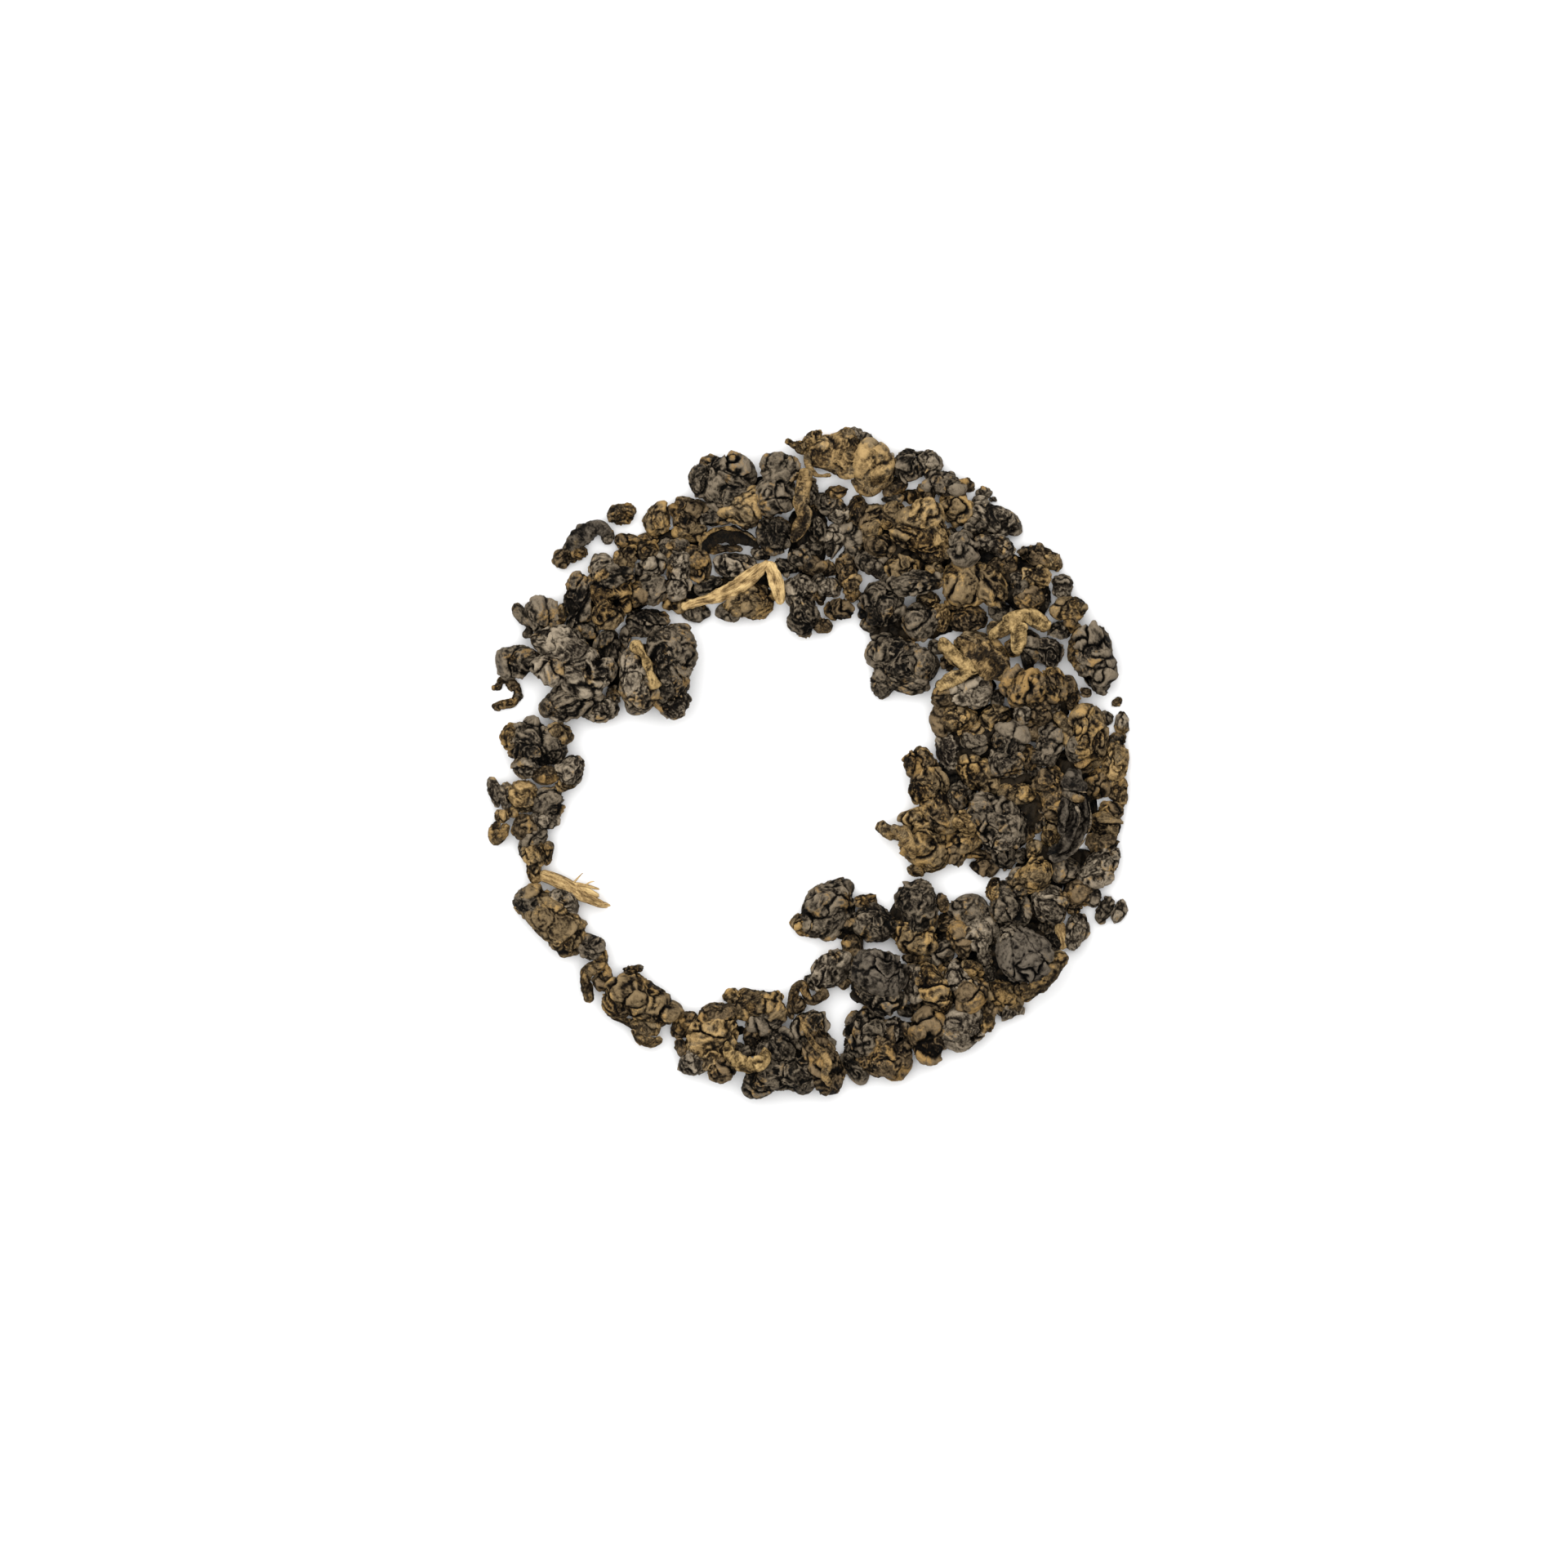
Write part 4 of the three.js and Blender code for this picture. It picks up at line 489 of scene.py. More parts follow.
# Small lobes in the gaps between the pellets
FILLINGS = [
    # Left of the top
    *filling(1.2, (76.6, 78, 2.4, 1.8, CHARCOAL, 90), (75.2, 85.2, 2, 1.8, CHARCOAL),
        (64.7, 77.6, 1.8, 1.6, CHARCOAL), (88, 63.2, 5, 2.4, CHARCOAL, 10), (91.6, 64, 3, 2.2, BROWN),
        (86.8, 71.6, 4.4, 2, CHARCOAL, 20), (72.4, 77.3, 2.4, 2, CHARCOAL),
        (88.6, 67.2, 4.4, 1.4, BROWN, -5), (93.4, 68, 3, 1.6, CHARCOAL, -25),
        (75, 84.6, 1.8, 1.6, CHARCOAL, 30)),
    *filling(2.1, (85.7, 58.9, 3.2, 4.4, CHARCOAL), (70.2, 82, 2.4, 2.6, CHARCOAL),
        (77.8, 73, 3, 3.2, BROWN), (100.1, 64.6, 2.2, 3.6, CHARCOAL), (97.8, 68.4, 3.4, 2.6, CHARCOAL),
        (79.4, 67.4, 3, 2.2, BROWN, 20), (83.2, 67, 3, 1.6, CHARCOAL, 10),
        (99.4, 69.4, 3, 2.4, BROWN, -20)),
    # Top
    *filling(1.2, (104.8, 62.5, 2.6, 4.2, BROWN), (104.4, 65.2, 2.2, 2.6, CHARCOAL),
        (100.4, 70.9, 2, 2.4, CHARCOAL), (100.8, 76.6, 2.2, 2, BROWN), (106.6, 76.6, 2.2, 1.6, CHARCOAL),
        (108.2, 83.5, 3.6, 3, CHARCOAL, 20), (122.6, 75, 3.4, 2.2, CHARCOAL, -10),
        (116.4, 81.2, 2.6, 3.4, BROWN, -20), (99.3, 60.3, 1.8, 3.4, CHARCOAL),
        (102.4, 60.2, 3.4, 1.6, BROWN, 10), (113.4, 60.2, 2.8, 2, BROWN, -30),
        (109, 61.2, 3.2, 1.4, CHARCOAL), (103.2, 68.6, 1.4, 2.4, CHARCOAL, 30),
        (100.6, 73.4, 1.8, 2.2, BROWN), (104.6, 73, 2, 1.8, BROWN), (114.6, 79.2, 2, 1.6, CHARCOAL)),
    *filling(1.6, (113.6, 73.4, 4, 2.2, TAN), (117.2, 73.9, 3.2, 2, BROWN, -15),
        (129.6, 77.4, 3.4, 2.6, CHARCOAL), (130.6, 84.6, 2.6, 4, BROWN, 20),
        (116.4, 65.2, 1.6, 1.6, CHARCOAL), (126, 79.2, 2.2, 4.6, CHARCOAL), (124, 79.4, 2, 2, BROWN),
        (122.2, 85.4, 1.8, 2.6, CHARCOAL, -30), (131, 76, 1.6, 3, BROWN), (133, 84.8, 1.8, 1.6, BROWN)),
    *filling(2.4, (107.8, 66.8, 3, 3.6, BROWN, 30), (106.4, 69, 3.4, 3, CHARCOAL),
        (124.8, 71.6, 3, 4, CHARCOAL), (119.5, 64.8, 3, 2.2, CHARCOAL), (122.8, 69.2, 4.6, 2, BROWN, 10),
        (126.2, 73.4, 3.4, 2.6, BROWN), (114.6, 69.6, 2.6, 2, TAN), (108, 70, 2.6, 2.6, CHARCOAL, 40)),
    # Right
    *filling(1.6, (125.9, 92.6, 2.2, 3.2, BROWN), (117, 104.2, 3, 3.4, BROWN),
        (112.2, 100.6, 4.6, 2.6, GOLD, -10), (126.8, 99.4, 3.2, 4.6, CHARCOAL),
        (120.2, 104.8, 2.6, 1.4, BROWN, -20), (124.8, 104.8, 1.6, 2, CHARCOAL),
        (126.4, 94.6, 2.6, 1.8, CHARCOAL, 20), (132.2, 93.4, 2.6, 3, BROWN, 30)),
    *filling(2.3, (118.6, 102.2, 4.6, 4.6, TAN), (117.4, 97.4, 2.8, 3.8, CHARCOAL),
        (119.2, 90.6, 3.6, 3.2, CHARCOAL), (130.6, 106.2, 3.6, 3.2, CHARCOAL), (118.6, 90, 3.2, 3, TAN),
        (125.8, 89.2, 2.4, 2.8, BROWN, 20), (129, 86.6, 2.2, 2, CHARCOAL),
        (124.2, 95.2, 3.4, 2, CHARCOAL, -15), (131.6, 92, 2.6, 3, CHARCOAL, 20),
        (125.6, 101.2, 2.2, 3.6, BROWN)),
    # Bottom
    *filling(1.2, (106, 110.2, 3.6, 2, BROWN), (97.8, 122.9, 2.2, 2.2, BROWN),
        (104.4, 130.6, 2, 4.2, CHARCOAL, 35), (89.6, 122, 2.6, 1.6, TAN, 20),
        (83.6, 128.2, 1.8, 2.6, BROWN), (90.4, 128.3, 2.6, 2, CHARCOAL), (73.4, 120.2, 1.6, 2.4, BROWN),
        (77.4, 118.7, 3, 1.4, CHARCOAL), (111.6, 117.3, 3, 1.6, BROWN), (111, 123.8, 2, 1.8, CHARCOAL),
        (99.4, 120.3, 1.6, 2.4, CHARCOAL, 30), (103.2, 120.4, 2, 1.2, BROWN),
        (104.2, 128.8, 1.6, 2, CHARCOAL), (112.4, 122.4, 2.6, 2, BROWN, 30),
        (113.8, 117.6, 2, 1.2, CHARCOAL), (131.4, 111.2, 2.6, 1.6, BROWN, 20),
        (115.4, 110.4, 1.4, 2.4, BROWN, 20), (128, 113.4, 2.4, 2.2, CHARCOAL, 30)),
    *filling(1.6, (88.9, 126.9, 3.4, 2.4, CHARCOAL), (121, 123.4, 1.8, 2, BROWN),
        (121.4, 119.2, 2, 2.2, CHARCOAL), (116.2, 118.6, 2.6, 1.8, BROWN, 20),
        (96.8, 129.2, 2, 1.6, CHARCOAL), (92, 128.8, 2.4, 1.4, CHARCOAL)),
]

# What a draw multiplies its seed, its number and their wave by, so that draws side by side differ
SEED_STEP = 12.9898
NUMBER_STEP = 78.233
WAVE_SCALE = 43758.5453
# Which draws a lobe uses for its turn in space, its place in the noises, the breadth of its folds and, from
# this one on, its flats. Its bumps use the first ones.
TURN_DRAWS = (31, 32, 33)
PLACE_DRAWS = (41, 42, 43)
BREADTH_DRAW = 51
FLAT_DRAWS = 60
# The side of the room in the noises over which the lobes are spread, in millimetres
NOISE_ROOM = 200


def draw(seed, k):
    """A draw from 0 to 1 that is the same on every run."""
    return math.sin(seed * SEED_STEP + k * NUMBER_STEP) * WAVE_SCALE % 1.0


def drawn_way(seed, k):
    """A way in space from two draws, the first of them this one."""
    z = 2 * draw(seed, k) - 1
    around = 2 * math.pi * draw(seed, k + 1)
    level = math.sqrt(1 - z * z)
    return np.array((level * math.cos(around), level * math.sin(around), z))


def swelling(directions, seed):
    """How far a lobe swells in each direction, from its own bumps."""
    total = np.ones(len(directions))
    for k in range(BUMPS):
        total += SWELL * np.maximum(0, directions @ drawn_way(seed, 2 * k)) ** BUMP_SHARPNESS
    return total


# Flats to which a lobe is pressed: how many, how near its middle the nearest lies, how far the draw spreads
# them, how sharp the edges between them are, and what makes up for the bulk they take off
FLATS = 11
FLAT_NEAREST = 0.74
FLAT_SPREAD = 0.36
FLAT_EDGE = 12
FLAT_BULK = 0.965


def pressed(directions, seed):
    """How far off its middle a lobe's pressed sides lie in each direction."""
    total = np.ones(len(directions))
    for k in range(FLAT_DRAWS, FLAT_DRAWS + 3 * FLATS, 3):
        near = FLAT_NEAREST + FLAT_SPREAD * draw(seed, k + 2)
        total += np.maximum(0, directions @ drawn_way(seed, k) / near) ** FLAT_EDGE
    return FLAT_BULK * total ** (-1 / FLAT_EDGE)


# The points between two points of a path when its smooth line is worked out
LINE_STEPS = 24


def curve_through(path):
    """A smooth line through a path's points, and where on the path each of its points lies."""
    knots = np.vstack((2 * path[0] - path[1], path, 2 * path[-1] - path[-2]))
    shares = np.linspace(0, len(path) - 1, LINE_STEPS * len(path))
    at = np.minimum(shares.astype(int), len(path) - 2)
    t = (shares - at)[:, None]
    a, b, c, d = knots[at], knots[at + 1], knots[at + 2], knots[at + 3]
    line = 0.5 * (2 * b + (c - a) * t + (2 * a - 5 * b + 4 * c - d) * t**2 + (3 * b - a - 3 * c + d) * t**3)
    return line, shares


def evenly(line, lengths, count):
    """Evenly spread points on a line whose parts have these lengths, and its whole length."""
    run = np.concatenate(([0], np.cumsum(lengths)))
    even = np.linspace(0, run[-1], count)
    return np.stack([np.interp(even, run, column) for column in line.T], 1), run[-1]


def line_through(path, count):
    """Evenly spread points on a smooth line through a strip's points, each with its thickness."""
    line, shares = curve_through(path)
    line[:, 2] = np.interp(shares, np.arange(len(path)), path[:, 2])
    return evenly(line, np.hypot(*np.diff(line[:, :2], axis=0).T), count)


def columns_under(x, y, half, turn):
    """The grid columns that bear an upright ellipsoid, each with half its thickness there."""
    reach = max(half[:2]) * BEARING_SHARE
    c, s = math.cos(turn), math.sin(turn)
    columns = []
    for i in range(math.ceil((x - reach) / CELL), math.floor((x + reach) / CELL) + 1):
        for j in range(math.ceil((y - reach) / CELL), math.floor((y + reach) / CELL) + 1):
            dx, dy = i * CELL - x, j * CELL - y
            u = (dx * c + dy * s) / (half[0] * BEARING_SHARE)
            v = (dy * c - dx * s) / (half[1] * BEARING_SHARE)
            rest = 1 - u * u - v * v
            if rest > 0:
                columns.append(((i, j), half[2] * math.sqrt(rest)))
    return columns


def columns_of(piece):
    """The grid columns that bear a lobe or a strip."""
    if "path" not in piece:
        return columns_under(piece["x"], piece["y"], piece["half"], piece["turn"])
    run = line_through(piece["path"], 2)[1]
    line = line_through(piece["path"], math.ceil(run / CELL) + 1)[0]
    columns = []
    for x, y, thickness in line:
        breadth = thickness / BEARING_SHARE / 2
        columns += columns_under(x, y, (breadth, breadth, thickness * STRIP_HEIGHT / 2), 0)
    return columns


def fall(pellets):
    """Lets every pellet fall straight down, the lowest layer first, and notes the height of its middle."""
    tops = {}
    for one in BURIED:
        for key, half in columns_of(one):
            tops[key] = max(tops.get(key, 0), half)
    for one in sorted(pellets, key=lambda one: one["layer"]):
        bearing = [piece for piece in one["pieces"] if piece["bears"]]
        columns = [column for piece in bearing or one["pieces"] for column in columns_of(piece)]
        held = tops if bearing else {}
        z = max(held[key] + half - NESTLE if key in held else half - FOOT_BITE for key, half in columns)
        for piece in one["pieces"]:
            piece["z"] = z
        if bearing:
            for key, half in columns:
                tops[key] = max(tops.get(key, 0), z + half)


# Large primes that mix up a cell's three numbers, a noise's salt and the bits of the outcome
CELL_PRIMES = (73856093, 19349663, 83492791)
SALT_PRIME = 2654435761
BIT_PRIMES = (2246822519, 3266489917)


def draws(cells, salt):
    """Three draws from 0 to 1 for each whole-numbered cell, the same on every run."""
    x, y, z = (cells[:, k].astype(np.int64).astype(np.uint32) * np.uint32(CELL_PRIMES[k]) for k in range(3))
    mixed = x ^ y ^ z ^ np.uint32(salt * SALT_PRIME % 2**32)
    found = np.empty((len(cells), 3), np.float32)
    for k in range(3):
        mixed = (mixed ^ (mixed >> np.uint32(15))) * np.uint32(BIT_PRIMES[0])
        mixed = (mixed ^ (mixed >> np.uint32(13))) * np.uint32(BIT_PRIMES[1])
        mixed = mixed ^ (mixed >> np.uint32(16))
        found[:, k] = mixed / np.float32(2**32)
    return found


def noise(points, salt):
    """Three smooth noises from -1 to 1, whose waves are about two units long."""
    cell = np.floor(points)
    part = points - cell
    part = part * part * (3 - 2 * part)
    total = np.zeros((len(points), 3), np.float32)
    for corner in itertools.product((0, 1), repeat=3):
        weight = np.prod(np.where(corner, part, 1 - part), axis=1)
        total += weight[:, None] * draws(cell + corner, salt)
    return 2 * total - 1


# What brings the waves' values to about -1 to 1
WAVES_SCALE = 1.6


def waves(points, salt):
    """One noise round 0, whose zero surfaces wind about a unit apart."""
    cell = np.floor(points)
    part = points - cell
    ease = part**3 * (part * (6 * part - 15) + 10)
    total = np.zeros(len(points), np.float32)
    for corner in itertools.product((0, 1), repeat=3):
        weight = np.prod(np.where(corner, ease, 1 - ease), axis=1)
        slope = 2 * draws(cell + corner, salt) - 1
        total += weight * np.einsum("ij,ij->i", slope, part - corner)
    return WAVES_SCALE * total


# How far from the edges of its cell a fold's seed keeps
SEED_MARGIN = 0.1
# A squared distance farther than any seed's
FARTHEST = 9.0
# What makes new draws of the ones that placed the seed
REDRAW = 7.31


def folds(points, salt):
    """Cuts space into folds round scattered seeds. For each point: the way to it from its own fold's seed,
    how far off the fold's border is, and three draws that belong to the fold."""
    home = np.floor(points)
    near = np.full(len(points), FARTHEST, np.float32)
    next_near = near.copy()
    way = np.zeros((len(points), 3), np.float32)
    next_way = way.copy()
    own = way.copy()
    for step in itertools.product((-1, 0, 1), repeat=3):
        given = draws(home + step, salt)
        away = (points - home - step - SEED_MARGIN - (1 - 2 * SEED_MARGIN) * given).astype(np.float32)
        far = np.einsum("ij,ij->i", away, away)
        closer = far < near
        second = ~closer & (far < next_near)
        next_near = np.where(closer, near, np.where(second, far, next_near))
        next_way = np.where(closer[:, None], way, np.where(second[:, None], away, next_way))
        near = np.where(closer, far, near)
        way = np.where(closer[:, None], away, way)
        own = np.where(closer[:, None], given, own)
    border = (next_near - near) / (2 * np.linalg.norm(way - next_way, axis=1) + 1e-6)
    return way, border, (own * REDRAW) % 1.0


def rounded(share):
    """A puffed profile: steep at a fold's border and level further in."""
    share = np.clip(share, 0, 1)
    return np.sqrt(1 - (1 - share) ** 2)


def eased(value, low, high):
    """Goes smoothly from 0 to 1 while the value goes from low to high."""
    share = np.clip((value - low) / (high - low), 0, 1)
    return share * share * (3 - 2 * share)


# Folds of a rolled leaf: the breadth of one as a share of its lobe's width, between these limits, and how
# much that varies from lobe to lobe
FOLD_SHARE = 0.5
FOLD_VARIES = 0.35
FOLD_LEAST = 1.0
FOLD_MOST = 2.6
# How much longer than broad a fold is
FOLD_STRETCH = 2.3
# How strongly the leaf's twist and its finer waver bend the folds, and how many of their waves a fold takes
TWIST = 0.6
TWIST_WAVES = 0.7
WAVER = 0.24
WAVER_WAVES = 2.3
# A fold's rise over its creases, its tilt, which lifts one edge over the next fold, the step between
# neighbours and the swelling over its border, in breadths
FOLD_RISE = 0.26
FOLD_TILT = 0.26
FOLD_STEP = 0.24
FOLD_OVERHANG = 0.13
# How far in from its border a fold is puffed and how broad its tilted edge is, in breadths, the level that
# counts as no rise, and the share of its depth that a crease keeps where it fades out
FOLD_PUFF = 0.5
FOLD_EDGE = 0.24
FOLD_LEVEL = 0.7
CREASE_LEAST = 0.2
# The share of its depth that a fold keeps on a leaf without puckers
CALM_DEPTH = 0.3
# How many waves of the patches where creases fade and wrinkles roughen a fold takes, and from which to
# which value of those the creases come in and the wrinkles grow
PATCH_WAVES = 0.9
CREASE_PATCHES = (-0.2, 0.2)
ROUGH_PATCHES = (-0.3, 0.2)
# Puckers, the winding small bulges and crests on each fold: their breadth as a share of the fold's, their
# length in breadths, how deep they are cut, their rise as a share of their own breadth, how far they wind
# and how many of their bends a fold takes
PUCKER = 0.34
PUCKER_LENGTH = 2.2
PUCKER_CUT = 0.8
PUCKER_RISE = 0.34
PUCKER_WIND = 0.6
PUCKER_BENDS = 2.2
# How far the noises of two folds lie apart
APART = 40
# The part of a wave over which a bulge rises, and the level on a pucker that counts as no rise
BULGE_PART = 0.3
PUCKER_LEVEL = 0.75
# Crests, the sharp kind of pucker: their height, how sharp they are, the level that counts as no rise, how
# many waves of their patches a fold takes, and from which to which value of those they take over
CREST_HEIGHT = 0.9
CREST_SHARPNESS = 1.4
CREST_LEVEL = 0.25
CREST_WAVES = 0.7
CREST_PATCHES = (-0.35, 0.0)
# Wrinkles, the finest bulges: their breadth and rise in millimetres, how far they wind, how many of their
# bends a breadth takes, how much they are drawn out along the grain, and the least share of their rise,
# which grows by one in rough patches
WRINKLE = 0.36
WRINKLE_RISE = 0.07
WRINKLE_WIND = 0.9
WRINKLE_BENDS = 0.6
WRINKLE_LONG = 0.55
WRINKLE_LEAST = 0.45
# Large dents of a lobe, as a share of its fold's breadth, and how many of their waves a fold takes
DENT = 0.45
DENT_WAVES = 0.36
# What makes up for the creases' depth, in breadths
FULLER = 0.01


def puckered(points, fold, bent, own, salt):
    """The winding small bulges and crests on the folds, as a share of their own rise."""
    turned = np.where(own[:, :1] > 0.5, bent[:, [1, 0, 2]], bent[:, [2, 1, 0]])
    winding = turned / PUCKER + PUCKER_WIND * noise(turned * PUCKER_BENDS, salt + 4)
    winding = winding * (1 / PUCKER_LENGTH, 1, PUCKER_CUT) + own * APART
    pucker = np.abs(waves(winding, salt + 5)) / BULGE_PART
    bulge = rounded(pucker) - PUCKER_LEVEL
    crest = CREST_HEIGHT * np.maximum(0, 1 - pucker) ** CREST_SHARPNESS - CREST_LEVEL
    crested = eased(waves(points / fold * CREST_WAVES, salt + 6), *CREST_PATCHES)
    return bulge + (crest - bulge) * crested


def wrinkled(points, fold, broken, own, salt):
    """The finest bulges, how strong they are, and the leaf's grain. All three are worked out at each place,
    and where the surface is broken, the grain changes from fold to fold."""
    rough = eased(waves(points / fold * PATCH_WAVES, salt + 11), *ROUGH_PATCHES)
    grain = points / WRINKLE + WRINKLE_WIND * noise(points / WRINKLE * WRINKLE_BENDS, salt + 7)
    lengthwise = broken & (own[:, 1:2] > 0.5)
    grain = np.where(lengthwise, grain * (WRINKLE_LONG, 1, 1), grain * (1, WRINKLE_LONG, 1))
    grain = grain + own * APART * broken
    wrinkle = rounded(np.abs(waves(grain, salt + 8)) / BULGE_PART) - FOLD_LEVEL
    return wrinkle, WRINKLE_LEAST + rough, grain


def crumpled(points, normals, fold, rise, salt):
    """Folds a smooth lobe's surface like a leaf rolled up tight. The rise is the share its puckers keep.
    Returns the moved points, how high each lies over the smooth lobe, its fold's draws and its grain.
    Each noise adds a number of its own to the salt, so that no two are alike."""
    stretch = np.array((1 / FOLD_STRETCH, 1, 1))
    bent = points / fold
    bent = bent + TWIST * noise(bent * TWIST_WAVES, salt + 1) + WAVER * noise(bent * WAVER_WAVES, salt + 9)
    way, border, own = folds(bent * stretch, salt + 2)
    fading = eased(waves(points / fold * PATCH_WAVES, salt + 10), *CREASE_PATCHES)
    lean = np.einsum("ij,ij->i", way, unit(own - 0.5))
    inside = eased(border, 0, FOLD_EDGE)
    depth = FOLD_RISE * (rounded(border / FOLD_PUFF) - FOLD_LEVEL)
    depth = depth * (CREASE_LEAST + (1 - CREASE_LEAST) * fading)
    depth += (FOLD_TILT * lean + FOLD_STEP * (own[:, 0] - 0.5)) * inside
    depth *= CALM_DEPTH + (1 - CALM_DEPTH) * rise
    depth += FULLER + DENT * waves(points / fold * DENT_WAVES, salt + 3)
    depth += PUCKER * PUCKER_RISE * rise * puckered(points, fold, bent, own, salt)
    wrinkle, strength, grain = wrinkled(points, fold, rise[:, None] == 1, own, salt)
    depth = depth * fold[:, 0] + WRINKLE_RISE * wrinkle * strength

    across = way / stretch
    across -= normals * np.einsum("ij,ij->i", across, normals)[:, None]
    moved = points + FOLD_OVERHANG * fold * across * (inside * rise)[:, None]
    return moved + normals * depth[:, None], depth, own[:, 1:], grain


def about_z(angle):
    """A turn about the upright axis."""
    c, s = math.cos(angle), math.sin(angle)
    return np.array(((c, -s, 0), (s, c, 0), (0, 0, 1)))


def spin_of(seed):
    """A turn in space that is a lobe's own."""
    a, b, c = (2 * math.pi * draw(seed, k) for k in TURN_DRAWS)
    about_x = np.array(((1, 0, 0), (0, math.cos(b), -math.sin(b)), (0, math.sin(b), math.cos(b))))
    return about_z(a) @ about_x @ about_z(c)


def offset_of(seed):
    """A place of its own in the noises for each lobe."""
    return np.array([NOISE_ROOM * draw(seed, k) for k in PLACE_DRAWS])


# The nets worked out so far, by their steps
NETS = {}


def geodesic(steps):
    """A unit ball of 20 * steps ** 2 even triangles: its corners and the corners' numbers."""
    if steps in NETS:
        return NETS[steps]
    g = (1 + math.sqrt(5)) / 2
    tips = np.array([(-1, g, 0), (1, g, 0), (-1, -g, 0), (1, -g, 0), (0, -1, g), (0, 1, g),
                     (0, -1, -g), (0, 1, -g), (g, 0, -1), (g, 0, 1), (-g, 0, -1), (-g, 0, 1)])
    sides = np.array([(0, 11, 5), (0, 5, 1), (0, 1, 7), (0, 7, 10), (0, 10, 11), (1, 5, 9), (5, 11, 4),
                      (11, 10, 2), (10, 7, 6), (7, 1, 8), (3, 9, 4), (3, 4, 2), (3, 2, 6), (3, 6, 8),
                      (3, 8, 9), (4, 9, 5), (2, 4, 11), (6, 2, 10), (8, 6, 7), (9, 8, 1)])
    number, grid = {}, []
    for i in range(steps + 1):
        for j in range(steps + 1 - i):
            number[i, j] = len(grid)
            grid.append(((steps - i - j) / steps, i / steps, j / steps))
    small = []
    for i, j in number:
        if i + j < steps:
            small.append((number[i, j], number[i + 1, j], number[i, j + 1]))
        if i + j < steps - 1:
            small.append((number[i + 1, j], number[i + 1, j + 1], number[i, j + 1]))
    corners = np.einsum("gk,fkx->fgx", np.array(grid), tips[sides]).reshape(-1, 3)
    faces = (np.array(small)[None] + (np.arange(20) * len(grid))[:, None, None]).reshape(-1, 3)
    _, first, merged = np.unique(np.round(corners * 1e4), axis=0, return_index=True, return_inverse=True)
    corners = corners[first]
    corners /= np.linalg.norm(corners, axis=1)[:, None]
    NETS[steps] = corners, merged.reshape(-1)[faces]
    return NETS[steps]


def unit(vectors):
    """The vectors with their lengths brought to one."""
    return vectors / np.linalg.norm(vectors, axis=1)[:, None]


def lobe_skin(piece):
    """A smooth lobe in its own frame: corners, outward ways, triangles."""
    half = np.array(piece["half"])
    net = NET
    if piece["node"] == "core":
        half = half * (CORE_BREADTH, CORE_BREADTH, CORE_HEIGHT)
        net = CORE_NET
    steps = max(COARSEST, round(NET_SIDE * float(np.prod(half)) ** (1 / 3) / net))
    directions, faces = geodesic(steps)
    along = directions[:, 2] * NET_LIFT
    directions = directions * (np.sqrt(1 - NET_LIFT**2 + along**2) - along)[:, None] + (0, 0, NET_LIFT)
    mean_swelling = 1 + SWELL * BUMPS / 8
    swollen = swelling(directions, piece["seed"]) / mean_swelling * pressed(directions, piece["seed"])
    return directions * half * swollen[:, None], unit(directions / half), faces


def placed(piece, points):
    """A lobe's points turned and moved to where it lies."""
    return points @ about_z(piece["turn"]).T + (piece["x"], piece["y"], piece["z"])


# A calm lobe's folds are this much broader, its puckers rise by this share
CALM_BREADTH = 1.3
CALM_RISE = 0.5


def lobe_points(pieces):
    """Every lobe of a list, crumpled and in its place."""
    plain, normals, fold, rise, sizes, nets = [], [], [], [], [], []
    start = 0
    for piece in pieces:
        points, outward, faces = lobe_skin(piece)
        spin = spin_of(piece["seed"])
        plain.append(points @ spin + offset_of(piece["seed"]))
        normals.append(outward @ spin)
        vary = 1 + FOLD_VARIES * (2 * draw(piece["seed"], BREADTH_DRAW) - 1)
        breadth = FOLD_SHARE * 2 * piece["half"][1] * vary
        breadth = min(FOLD_MOST, max(FOLD_LEAST, breadth))
        breadth *= CALM_BREADTH if piece["calm"] else 1
        fold.append(np.full((len(points), 1), breadth))
        rise.append(np.full(len(points), CALM_RISE if piece["calm"] else 1.0))
        sizes.append(len(points))
        nets.append(faces + start)
        start += len(points)
    moved, depth, own, grain = crumpled(np.vstack(plain), np.vstack(normals), np.vstack(fold),
                                         np.concatenate(rise), 1)
    ends = np.cumsum(sizes)
    corners = np.empty_like(moved)
    for piece, end, size in zip(pieces, ends, sizes):
        part = slice(end - size, end)
        corners[part] = placed(piece, (moved[part] - offset_of(piece["seed"])) @ spin_of(piece["seed"]).T)
    finishes = np.repeat([piece["finish"] for piece in pieces], [len(net) for net in nets])
    return corners, np.vstack(nets), finishes, depth, own, grain, sizes


# Stems, rolled strips and ribbons: a fold's breadth as a share of the thickness and at least, and the share
# of a pellet's folds that they show
STRIP_FOLD = 0.9
STRIP_FOLD_LEAST = 0.6
STRIP_DEPTH = 0.6
# A strip's rounded ends, how far it strays from its plan and the part of its ends where its folds shrink,
# all as shares of the thickness, the length of its straying's waves and the fewest sides
STRIP_END = 0.5
STRIP_STRAY = 0.14
STRIP_SHRINK = 0.35
STRAY_WAVE = 1.6
STRIP_SIDES_LEAST = 12
# How far ahead along a strip a fold may lean
AHEAD_MOST = 0.3
# Fibres that run along a pale stem: their breadth, their length and rise in breadths, how far they wind,
# how many of their bends a breadth takes, and the level that counts as no rise
FIBRE = 0.34
FIBRE_LENGTH = 7
FIBRE_RISE = 0.16
FIBRE_WIND = 0.4
FIBRE_BENDS = 0.5
FIBRE_LEVEL = 0.6


